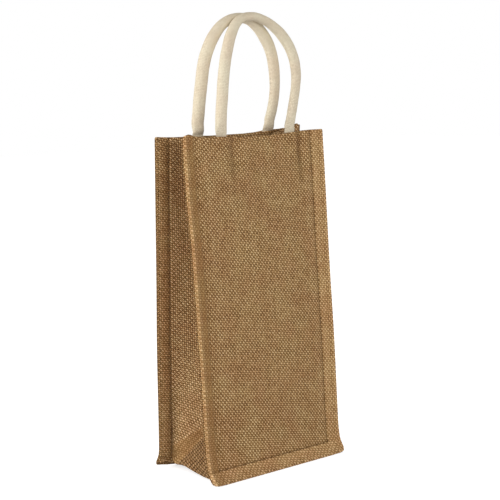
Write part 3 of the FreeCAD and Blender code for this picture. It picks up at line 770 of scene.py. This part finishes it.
# %% [markdown]
# The sleeve is closed by a seam on the inner side of the loop, where a hand doesn't feel it. How far out the
# row lies follows from the oval: the distance from its middle to its rim in the direction of the inner side.

# %% Seams of the handles
SEAM_SUNK = 0.1
for side, word in SIDES:
    line, steps, wide, narrow, inner, rise = handle_frames(side)
    reach = oval(side, rise)
    facing_in = [np.sum(inner * axis, axis=1) for axis in (wide, narrow)]
    rim = 1.0 / np.sqrt((facing_in[0] / reach[0]) ** 2 + (facing_in[1] / reach[1]) ** 2)
    sewn = rise > ROPE_START
    seam = (line + inner * (rim - SEAM_SUNK)[:, None])[sewn]
    threads[f"{word}_sleeve"] = sew_rows(f"{word}_sleeve_thread", [(seam, seam + inner[sewn])])

# %% [markdown]
# ## Weave
# Materials are made of many small nodes. These helpers make a node, wire its inputs and give back its output,
# so that a sum of nodes reads like a sum.

# %% Node helpers
def wire(tree, kind, *inputs, **settings):
    """A new node with its settings, and its inputs in order: numbers, colours or other nodes' outputs."""
    made = tree.nodes.new("ShaderNode" + kind)
    for name, value in settings.items():
        setattr(made, name, value)
    for socket, value in zip(made.inputs, inputs):
        if isinstance(value, bpy.types.NodeSocket):
            tree.links.new(value, socket)
        elif value is not None:
            socket.default_value = value
    return made


def reckon(tree, operation, *inputs):
    """The result of one Math node."""
    return wire(tree, "Math", *inputs, operation=operation).outputs[0]


def sums(tree, *operations):
    """The Math nodes that a tree uses most, as functions that can be given short names."""
    def short(operation):
        return lambda *inputs: reckon(tree, operation, *inputs)
    return [short(operation) for operation in operations]


def by(tree, first, second):
    """The product of two colours."""
    return wire(tree, "VectorMath", first, second, operation="MULTIPLY").outputs[0]


def pair(tree, first, second):
    """Two numbers as a vector."""
    return wire(tree, "CombineXYZ", first, second, 0.0).outputs[0]


def grain(tree, place, scale, detail=2.0):
    """A soft noise between about 0.25 and 0.75."""
    return wire(tree, "TexNoise", place, None, scale, detail).outputs[0]


def between(tree, factor, first, second):
    """A colour between two."""
    mixed = wire(tree, "Mix", factor, data_type="RGBA")
    for socket, value in ((mixed.inputs[6], first), (mixed.inputs[7], second)):
        if isinstance(value, bpy.types.NodeSocket):
            tree.links.new(value, socket)
        else:
            socket.default_value = (*value, 1.0)
    return mixed.outputs[2]


def ramp(tree, factor, stops):
    """The colour and alpha of a ramp with stops of (place, red, green, blue, alpha)."""
    made = wire(tree, "ValToRGB", factor)
    while len(made.color_ramp.elements) < len(stops):
        made.color_ramp.elements.new(0.5)
    for element, (place, *colour) in zip(made.color_ramp.elements, stops):
        element.position, element.color = place, colour
    return made.outputs


print("node helpers ready")

# %% [markdown]
# Jute and canvas are both plain weave, only at very different scales. Each thread passes over one crossing
# thread and under the next. A node group works this out from the flat cloth coordinates: which warp and
# which weft thread a place belongs to, how far it is from each thread's middle, and which is on top. An
# image could give the same, but the group stays sharp at any distance and has no edges.

# %% Threads of the plain weave
STRAY_SCALE, SLANT = 95.0, 0.5
weave = bpy.data.node_groups.new("plain weave", "ShaderNodeTree")
weave.interface.new_socket("Cloth", in_out="INPUT", socket_type="NodeSocketVector")
for name, value in (("Warp Pitch", 0.0021), ("Weft Pitch", 0.0023), ("Skew", 0.0), ("Wander", 0.0008),
                    ("Fullness", 0.44), ("Contrast", 0.1)):
    made = weave.interface.new_socket(name, in_out="INPUT", socket_type="NodeSocketFloat")
    made.default_value = value
for name in ("Height", "Crown", "Tint"):
    weave.interface.new_socket(name, in_out="OUTPUT", socket_type="NodeSocketFloat")
given = weave.nodes.new("NodeGroupInput").outputs
times, plus, less, over = sums(weave, "MULTIPLY", "ADD", "SUBTRACT", "DIVIDE")
times_plus, = sums(weave, "MULTIPLY_ADD")
stray = wire(weave, "TexNoise", given["Cloth"], None, STRAY_SCALE, 2.0).outputs[1]
stray = wire(weave, "VectorMath", stray, (-0.5, -0.5, -0.5), operation="ADD").outputs[0]
stray = wire(weave, "VectorMath", stray, operation="SCALE")
weave.links.new(given["Wander"], stray.inputs["Scale"])
place = wire(weave, "VectorMath", given["Cloth"], stray.outputs[0], operation="ADD").outputs[0]
place = wire(weave, "SeparateXYZ", place).outputs
across = over(place[0], given["Warp Pitch"])
along = over(times_plus(place[0], given["Skew"], place[1]), given["Weft Pitch"])
warp, weft = reckon(weave, "FLOOR", across), reckon(weave, "FLOOR", along)
off_warp, off_weft = less(less(across, warp), 0.5), less(less(along, weft), 0.5)
slant_warp, slant_weft = times_plus(off_weft, SLANT, off_warp), times_plus(off_warp, SLANT, off_weft)
warp_up = times_plus(reckon(weave, "FLOORED_MODULO", plus(warp, weft), 2.0), -2.0, 1.0)
crossing = wire(weave, "TexWhiteNoise", pair(weave, warp, weft), noise_dimensions="2D").outputs[0]
print("threads found with", len(weave.nodes), "nodes")

# %% [markdown]
# A thread is round, bows up over its crossings, and is spun unevenly: it swells and thins, wavers, and is
# streaked by its fibres. Height, crown and tint of the upper thread are what the group puts out.

# %% Yarns of the plain weave
SLUB, SLUB_SPREAD, SLUB_RUN = 0.6, 7.3, 0.3
SWAY, SWAY_RUN, SWAY_SCALE = 0.36, 0.12, 1.7
BODY, BOW, SUNKEN, WEFT_START = 0.7, 0.5, -0.4, 517.0
FIBRE, FIBRE_SPREAD, FIBRE_RUN, OWN, CROSSING, TINT_LEVEL = 0.8, 9.0, 0.6, 0.08, 0.22, -0.05
GAP_HEIGHT, CROWN_HEIGHT = -0.45, 0.75


def yarn(number, onwards, aside, beside, lift):
    """Height and tint of one set of threads.

    The inputs are the thread's number, the way along it, the places across it and along its crossing,
    and 1 or -1 where it is on top or under."""
    slub = grain(weave, pair(weave, times(number, SLUB_SPREAD), times(onwards, SLUB_RUN)), 1.0)
    half = times(given["Fullness"], times_plus(slub, SLUB, 1.0 - SLUB / 2.0))
    sway = grain(weave, pair(weave, number, times(onwards, SWAY_RUN)), SWAY_SCALE)
    off = over(plus(aside, times_plus(sway, SWAY, -SWAY / 2.0)), half)
    body = reckon(weave, "SQRT", reckon(weave, "MAXIMUM", less(1.0, times(off, off)), 0.0))
    bow = times(lift, reckon(weave, "COSINE", times(beside, math.pi)))
    height = times_plus(body, BODY, times_plus(bow, BOW, SUNKEN))
    own = wire(weave, "TexWhiteNoise", None, number, noise_dimensions="1D").outputs[0]
    fibre = pair(weave, times(aside, FIBRE_SPREAD), times_plus(onwards, FIBRE_RUN, number))
    streak = times_plus(own, OWN, times_plus(grain(weave, fibre, 1.0, 3.0), FIBRE, TINT_LEVEL))
    return height, times_plus(crossing, CROSSING, streak)


warp_height, warp_tint = yarn(warp, along, slant_warp, off_weft, warp_up)
weft_height, weft_tint = yarn(plus(weft, WEFT_START), across, slant_weft, off_warp, times(warp_up, -1.0))
height = reckon(weave, "MAXIMUM", warp_height, weft_height)
upper = reckon(weave, "GREATER_THAN", warp_height, weft_height)
tints = plus(weft_tint, given["Contrast"]), less(warp_tint, given["Contrast"])
tint = wire(weave, "Mix", upper, None, *tints).outputs[0]
crown = wire(weave, "MapRange", height, GAP_HEIGHT, CROWN_HEIGHT, 0.0, 1.0).outputs[0]
put_out = weave.nodes.new("NodeGroupOutput").inputs
for name, result in (("Height", height), ("Crown", crown), ("Tint", tint)):
    weave.links.new(result, put_out[name])
print("plain weave group:", len(weave.nodes), "nodes")

# %% [markdown]
# Along the margins, light and shade are painted into the cloth's colour. There is a painted highlight on the panels'
# left turned edge.
# There is painted shade over the left margin, in the line of each seam and on the other turned-under hems. There is
# painted light over the right margin, the foot, and the strip's margins, gussets and base. Beside the handle ends,
# painted shade darkens the panel's creases. Beside the edge the weave is felted flat. A second group reads the flat
# coordinates, finds the distance to the edge of the cloth and looks the tone up on a ramp. Where a table has a third
# number, the ramp's alpha says how far the weave is felted to an even tone.

# %% Margin tone group
# Left margins: a painted highlight on the turned edge, and painted shade over the margin and in the seam's line.
LEFT_MARGIN_LIGHT_AND_SHADE = [(0.0, 1.44, 0.4), (1.8, 1.38, 0.4), (3.8, 0.92, 0.55), (12.2, 0.89, 0.55), (12.8, 0.74),
             (14.2, 0.74), (14.8, 0.90), (18.0, 0.94), (26.0, 1.0)]
# Right margins and foot: painted shade on the turned-under hem, painted light over the margin, and painted shade in
# the seam's line.
RIGHT_MARGIN_LIGHT_AND_SHADE = [(0.0, 0.50), (0.6, 1.20), (2.6, 1.26, 0.3), (4.2, 1.24, 0.3), (12.2, 1.26, 0.3), (12.8, 0.76),
              (14.2, 0.76), (14.8, 0.98), (17.0, 1.01), (24.0, 1.02), (29.0, 0.965)]
# The strip: painted shade on its hems and in its seams, and painted light over its margins, gussets and base.
STRIP_LIGHT_AND_SHADE_FROM_LEFT = [(0.0, 0.50), (0.6, 1.20), (6.0, 1.18), (10.0, 1.06), (13.0, 0.82), (15.0, 0.90),
              (17.0, 1.22), (20.0, 1.32)]
STRIP_LIGHT_AND_SHADE_FROM_RIGHT_AND_FOOT = [(0.0, 0.50), (0.6, 1.30), (6.0, 1.24), (10.0, 0.90), (12.0, 0.76), (13.4, 0.96), (14.0, 1.0)]
# Painted shade in the creases beside the handle ends, across the panel.
CREASE_PAINTED_SHADE = [(-40.0, 1.0), (-34.5, 0.83), (-30.0, 0.83), (-24.0, 1.0), (52.9, 1.0), (56.2, 0.70),
               (60.3, 0.70), (64.5, 1.0)]
CREASE_SHADE_LOW, CREASE_SHADE_HIGH, TONE_REACH, TONE_BLEND = 282.0, 326.0, 30.0, 2.0
GREEN_SHIFT, BLUE_SHIFT = 1.15, 1.5


def look_up(tree, distance, table, first=0.0, last=TONE_REACH):
    """Half the tone, and the felting, at a distance from a table."""
    stops = [((place - first) / (last - first), tone / 2.0, tone ** GREEN_SHIFT / 2.0,
              tone ** BLUE_SHIFT / 2.0, sum(felted)) for place, tone, *felted in table]
    return ramp(tree, wire(tree, "MapRange", distance, first * MM, last * MM).outputs[0], stops)


def painted_margin_light(name, left, right_and_foot, painted_crease_shade=None):
    """A group that paints light and shade onto a sheet's margins from its flat coordinates."""
    tones = bpy.data.node_groups.new(name, "ShaderNodeTree")
    times, over, times_plus = sums(tones, "MULTIPLY", "DIVIDE", "MULTIPLY_ADD")
    tones.interface.new_socket("Cloth", in_out="INPUT", socket_type="NodeSocketVector")
    tones.interface.new_socket("Tone", in_out="OUTPUT", socket_type="NodeSocketColor")
    tones.interface.new_socket("Calm", in_out="OUTPUT", socket_type="NodeSocketFloat")
    flat = wire(tones, "SeparateXYZ", tones.nodes.new("NodeGroupInput").outputs[0]).outputs
    from_left, from_right = (times_plus(flat[0], sign, HALF_WIDTH * MM) for sign in (1.0, -1.0))
    if painted_crease_shade:
        widened = (MARGIN + PULL) / MARGIN
        narrowed = 1.0 - (1.0 - PULL_STEPS[1][1]) * PULL / (SEAM - PULL_STEPS[0][1])
        beyond = times_plus(from_right, 1.0 / narrowed, (MARGIN - (MARGIN + PULL) / narrowed) * MM)
        from_right = reckon(tones, "MAXIMUM", over(from_right, widened), beyond)
    nearest = reckon(tones, "SMOOTH_MIN", from_right, times(flat[1], FOOT_STRETCH), TONE_BLEND * MM)
    beside, around = look_up(tones, from_left, left), look_up(tones, nearest, right_and_foot)
    both = by(tones, by(tones, beside[0], around[0]), (4.0, 4.0, 4.0))
    # Painted shade in the creases beside the handle ends, faded in towards the top of the panel.
    if painted_crease_shade:
        high = wire(tones, "MapRange", flat[1], CREASE_SHADE_LOW * MM, CREASE_SHADE_HIGH * MM, 0.0, 1.0,
                    interpolation_type="SMOOTHSTEP").outputs[0]
        crease_shade_colour = look_up(tones, flat[0], painted_crease_shade, -HALF_WIDTH, HALF_WIDTH)[0]
        both = by(tones, by(tones, both, between(tones, high, (0.5, 0.5, 0.5), crease_shade_colour)), (2.0, 2.0, 2.0))
    put_out = tones.nodes.new("NodeGroupOutput").inputs
    tones.links.new(both, put_out[0])
    tones.links.new(reckon(tones, "MAXIMUM", beside[1], around[1]), put_out[1])
    print(f"{name}: {len(left) + len(right_and_foot)} steps")
    return tones


panel_painted_light = painted_margin_light("panel painted light and shade", LEFT_MARGIN_LIGHT_AND_SHADE, RIGHT_MARGIN_LIGHT_AND_SHADE, CREASE_PAINTED_SHADE)
strip_painted_light = painted_margin_light("strip painted light and shade", STRIP_LIGHT_AND_SHADE_FROM_LEFT, STRIP_LIGHT_AND_SHADE_FROM_RIGHT_AND_FOOT)

# %% [markdown]
# ## Finishes
# Jute is never one colour: bundles of fibre are straw, olive or reddish. In both cloths the gaps between the threads
# are painted dark as shade, and the threads' crowns pale as highlight. The canvas of the handles is finer and paler,
# and slightly uneven from handling. Each material places the weave group at its own scale, and turns its outputs
# into colour and bump.

# %% Cloth material
LEVEL, FELT_LEVEL, ROUGH, SPECULAR, WEAVE_BUMP = 0.75, 0.57, 0.92, 0.2, 0.8
PATCH_SCALE, PATCH_LOW, PATCH_HIGH = 42.0, 0.35, 0.65
PATCH_DARK, PATCH_LIGHT = (-0.06, -0.14, -0.16), (0.06, 0.12, 0.12)
WEAVE_INPUTS = ("Warp Pitch", "Weft Pitch", "Skew", "Wander", "Fullness", "Contrast")


def matt_material(name, roughness):
    """A new material with a dull surface, its tree and its shader."""
    material = bpy.data.materials.new(name)
    material.use_nodes = True
    shader = material.node_tree.nodes["Principled BSDF"]
    shader.inputs["Roughness"].default_value = roughness
    shader.inputs["Specular IOR Level"].default_value = SPECULAR
    return material, material.node_tree, shader


def emboss(tree, shader, height, strength, depth):
    """Let a height shape the surface's normal."""
    bump = wire(tree, "Bump")
    bump.inputs["Strength"].default_value, bump.inputs["Distance"].default_value = strength, depth
    tree.links.new(height, bump.inputs["Height"])
    tree.links.new(bump.outputs[0], shader.inputs["Normal"])


def weave_material(name, set_up, crowns, drift, patchy, depth, tones=None, felt_level=FELT_LEVEL):
    """A matt woven material: set_up are the weave's inputs, crowns the colours from gaps to threads' tops, with
    painted shade in the gaps and a painted highlight on the tops.
    """
    material, tree, shader = matt_material(name, ROUGH)
    times, less, times_plus = sums(tree, "MULTIPLY", "SUBTRACT", "MULTIPLY_ADD")
    cloth = wire(tree, "UVMap", uv_map="cloth").outputs[0]
    woven = wire(tree, "Group", node_tree=weave, name="woven")
    tree.links.new(cloth, woven.inputs["Cloth"])
    for socket, value in zip(WEAVE_INPUTS, set_up):
        woven.inputs[socket].default_value = value
    raw = times(times_plus(less(woven.outputs["Tint"], 0.5), drift, woven.outputs["Crown"]), LEVEL)
    calmed = wire(tree, "Math", 0.0, less(felt_level, raw), raw, operation="MULTIPLY_ADD", name="calm")
    # The ramp paints shade into the gaps between threads and a highlight onto their crowns.
    colour = ramp(tree, calmed.outputs[0], [(*stop, 1.0) for stop in crowns])[0]
    # Painted light and shade on the margins is multiplied into the colour.
    if tones:
        painted_edge_light = wire(tree, "Group", node_tree=tones)
        tree.links.new(cloth, painted_edge_light.inputs[0])
        colour = by(tree, colour, painted_edge_light.outputs["Tone"])
        tree.links.new(painted_edge_light.outputs["Calm"], calmed.inputs[0])
    solid = wire(tree, "TexCoord").outputs["Object"]
    patches = wire(tree, "MapRange", grain(tree, solid, PATCH_SCALE, 3.0), PATCH_LOW, PATCH_HIGH).outputs[0]
    shade = between(tree, patches, *([1.0 + part * patchy for part in shift]
                                     for shift in (PATCH_DARK, PATCH_LIGHT)))
    tree.links.new(by(tree, colour, shade), shader.inputs["Base Color"])
    emboss(tree, shader, woven.outputs["Height"], WEAVE_BUMP, depth)
    return material


# Ramps from the gaps to the crowns, with painted shade in the gaps and a painted highlight on the crowns.
JUTE_CROWNS = [(0.1, 0.02, 0.007, 0.002), (0.35, 0.13, 0.056, 0.013), (0.55, 0.32, 0.172, 0.061),
               (0.75, 0.53, 0.335, 0.154), (0.95, 0.70, 0.490, 0.270)]
CANVAS_CROWNS = [(0.0, 0.437, 0.354, 0.243), (0.3, 0.582, 0.495, 0.36), (0.55, 0.68, 0.595, 0.443),
                 (1.0, 0.743, 0.66, 0.52)]
OPEN_FULLNESS = 0.33
jute = weave_material("brown jute", (0.00214, 0.00229, 0.18, 0.0006, 0.50, -0.215), JUTE_CROWNS,
                      0.9, 0.75, 0.5 * MM, panel_painted_light)
open_jute = weave_material("open jute", (0.00218, 0.00231, 0.19, 0.0006, OPEN_FULLNESS, 0.15), JUTE_CROWNS,
                           0.9, 0.6, 0.6 * MM, strip_painted_light, 0.44)
canvas = weave_material("cream canvas", (0.0014, 0.0015, 0.0, 0.0003, 0.5, 0.03), CANVAS_CROWNS,
                        1.6, 0.4, 0.2 * MM)
print("finishes:", jute.name, open_jute.name, canvas.name)

# %% [markdown]
# Between its two slanting folds each gusset is felted smooth, and below the lower one it is pulled tight, which
# opens the weave. A fold is a plane across the corner, so the place in the piece's own space tells on which side
# of it a thread is. The flat coordinates keep this off the strip's margins, and the base is left out.

# %% Open weave at the base
FOLD_ABOVE, FOLD_BELOW, GUSSET_START = 1.0, -1.5, 60.0
PLEAT_FULLER, OPEN_THINNER, PLEAT_FELT = 0.06, -0.25, 0.55
tree = open_jute.node_tree
times, less, times_plus = sums(tree, "MULTIPLY", "SUBTRACT", "MULTIPLY_ADD")
solid = wire(tree, "SeparateXYZ", wire(tree, "TexCoord").outputs["Object"]).outputs
across = times(solid[1], times(reckon(tree, "SIGN", solid[0]), -1.0))


def below_fold(fold):
    """1 under a slanting fold of the gussets, 0 above it."""
    above = times_plus(across, fold[0], times_plus(solid[2], fold[1], -fold[2] * MM))
    return wire(tree, "MapRange", above, FOLD_ABOVE * MM, FOLD_BELOW * MM, 0.0, 1.0).outputs[0]


flat = wire(tree, "SeparateXYZ", wire(tree, "UVMap", uv_map="cloth").outputs[0]).outputs
off_margin = reckon(tree, "LESS_THAN", reckon(tree, "ABSOLUTE", flat[0]), (HALF_GUSSET + 2.0) * MM)
off_base = reckon(tree, "GREATER_THAN", reckon(tree, "ABSOLUTE", solid[0]), GUSSET_START * MM)
on_gusset = times(off_base, off_margin)
under_high, under_low = below_fold(PLEAT_HIGH), below_fold(PLEAT_LOW)
felted = times(times(less(under_high, under_low), on_gusset), PLEAT_FELT)
tree.links.new(felted, tree.nodes["calm"].inputs[0])
fuller = times_plus(under_high, PLEAT_FULLER, times(under_low, OPEN_THINNER))
tree.links.new(times_plus(fuller, on_gusset, OPEN_FULLNESS), tree.nodes["woven"].inputs["Fullness"])
print("half a thread fills", OPEN_FULLNESS, "of its pitch, and", round(OPEN_FULLNESS + PLEAT_FULLER, 2),
      "between the folds")

# %% [markdown]
# Sewing thread and rope are twisted from finer yarns. Slanting bands in the piece's own space show the twist, with
# a slow drift of tone. The thread of the long seams is painted darker, as the shade of the groove it lies in.

# %% Thread material
TWIST_SCALE, TWIST_SHARE, DRIFT_SCALE, DRIFT_SHARE = 900.0, 0.5, 240.0, 0.6
THREAD_ROUGH, THREAD_BUMP, THREAD_DEPTH = 0.85, 0.6, 0.1 * MM


def thread_material(name, dark, light):
    material, tree, shader = matt_material(name, THREAD_ROUGH)
    times, times_plus = sums(tree, "MULTIPLY", "MULTIPLY_ADD")
    solid = wire(tree, "TexCoord").outputs["Object"]
    twist = wire(tree, "TexWave", solid, TWIST_SCALE, 3.0, 2.0, bands_direction="DIAGONAL").outputs[1]
    mixed = times_plus(twist, TWIST_SHARE, times(grain(tree, solid, DRIFT_SCALE), DRIFT_SHARE))
    tree.links.new(between(tree, mixed, dark, light), shader.inputs["Base Color"])
    emboss(tree, shader, twist, THREAD_BUMP, THREAD_DEPTH)
    return material


# Painted shade: the long seams' thread is darker, as the shade of its groove.
groove_shaded_thread = thread_material("seam thread with painted groove shade", (0.06, 0.032, 0.014), (0.20, 0.115, 0.052))
jute_thread = thread_material("jute thread", (0.16, 0.092, 0.038), (0.36, 0.22, 0.10))
canvas_thread = thread_material("canvas thread", (0.50, 0.42, 0.31), (0.78, 0.69, 0.54))
rope_fibre = thread_material("rope fibre", (0.48, 0.40, 0.28), (0.74, 0.65, 0.50))
print("threads:", groove_shaded_thread.name, jute_thread.name, canvas_thread.name, rope_fibre.name)

# %% [markdown]
# ## Putting the bag together
# Every piece of cloth takes the place of its CAD solid and rides on a body. The flat size of a sheet is its
# finished size with its hems let out.

# %% Cloth pieces
def finish_piece(piece, material, slot, *nodes):
    piece.data.materials.append(material)
    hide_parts(*nodes)


for side, word in SIDES:
    finish_piece(panels[side], jute, "jute", f"{word}_panel")
    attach(panels[side], "bag")
    finish_piece(facings[side], jute, "jute", f"{word}_facing")
    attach(facings[side], "bag")
finish_piece(gusset_cloth, open_jute, "jute", "gusset_strip")
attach(gusset_cloth, "bag")
print("cloth in place")

# %% [markdown]
# The handle's sewn ends stay with the bag and its loop swings, but its canvas is left where it is made, on no
# body. Rope and sleeve seam go with the loop, and all other thread with the bag.

# %% Handles and threads
for side, word in SIDES:
    finish_piece(handles[side], canvas, "canvas", f"{word}_handle_sleeve", f"{word}_left_tab", f"{word}_right_tab")
    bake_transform(handles[side])
    finish_piece(ropes[side], rope_fibre, "rope", f"{word}_handle_core")
    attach(ropes[side], f"{word}_handle")
    finish_piece(threads[f"{word}_sleeve"], canvas_thread, "canvas_thread", f"{word}_sleeve_stitching")
    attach(threads[f"{word}_sleeve"], f"{word}_handle")
    for seam, material in (("frame", groove_shaded_thread), ("hem", jute_thread)):
        finish_piece(threads[f"{word}_{seam}"], material, "jute_thread", f"{word}_{seam}_stitching")
        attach(threads[f"{word}_{seam}"], "bag")
for word in ("left", "right"):
    finish_piece(threads[f"{word}_gusset"], jute_thread, "jute_thread", f"{word}_gusset_hem_stitching")
    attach(threads[f"{word}_gusset"], "bag")
print("handles blended over the bend at", HINGE_HEIGHT, "mm")

# %% [markdown]
# ## Light and floor
# The photograph is a cut-out on white in soft light. A lamp in front, a broad one at the left, which lights the
# folded side, and an even world light the bag at a plain level. To the camera the world is white.

# %% World and lamps
WHITE, EVEN = (1.0, 1.0, 1.0, 1.0), 0.57
LAMPS = (("key box", (-0.75, -2.05, 0.65), 0.9, 19.2), ("side box", (-1.9, 0.9, 0.35), 1.2, 38.0))


def seen(tree):
    """1 for rays that show the backdrop itself: from the camera, in a reflection or through glass."""
    rays = tree.nodes.new("ShaderNodeLightPath").outputs
    mirrored = reckon(tree, "MAXIMUM", rays["Is Glossy Ray"], rays["Is Transmission Ray"])
    return reckon(tree, "MAXIMUM", rays["Is Camera Ray"], mirrored)


world = bpy.data.worlds.new("studio")
scene.world = world
world.use_nodes = True
tree = world.node_tree
tree.nodes.clear()
even, white = (wire(tree, "Background", WHITE, strength).outputs[0] for strength in (EVEN, 1.0))
wire(tree, "OutputWorld", wire(tree, "MixShader", seen(tree), even, white).outputs[0])
for name, place, across, power in LAMPS:
    lamp = new_object(name, bpy.data.lights.new(name, "AREA"))
    lamp.data.shape, lamp.data.size, lamp.data.energy = "DISK", across, power
    aim = (Vector(place) - VIEW_AIM).to_track_quat("Z", "Y").to_matrix().to_4x4()
    lamp.matrix_world = Matrix.Translation(place) @ aim
    print(name, lamp.data.energy, "W")

# %% [markdown]
# The floor is white to the camera as well, by a glow added to its matt paint, and still keeps a faint shadow
# where the bag stands on it. Other rays don't see the glow, so it doesn't light the bag from below.

# %% Floor
FLOOR_SIZE, FLOOR_GLOW, FLOOR_PAINT = 12.0, 0.7, (0.8, 0.8, 0.8, 1.0)
bpy.ops.object.select_all(action="DESELECT")
bpy.ops.mesh.primitive_plane_add(size=FLOOR_SIZE, location=(0.0, 0.0, 0.0))
floor = bpy.context.object
floor.name = "floor"
paint = bpy.data.materials.new("white floor")
paint.use_nodes = True
tree = paint.node_tree
tree.nodes.clear()
glow = wire(tree, "Emission", WHITE, reckon(tree, "MULTIPLY", seen(tree), FLOOR_GLOW)).outputs[0]
matt = wire(tree, "BsdfDiffuse", FLOOR_PAINT).outputs[0]
wire(tree, "OutputMaterial", wire(tree, "AddShader", glow, matt).outputs[0])
floor.data.materials.append(paint)
print("floor", floor.dimensions[:2], "m")
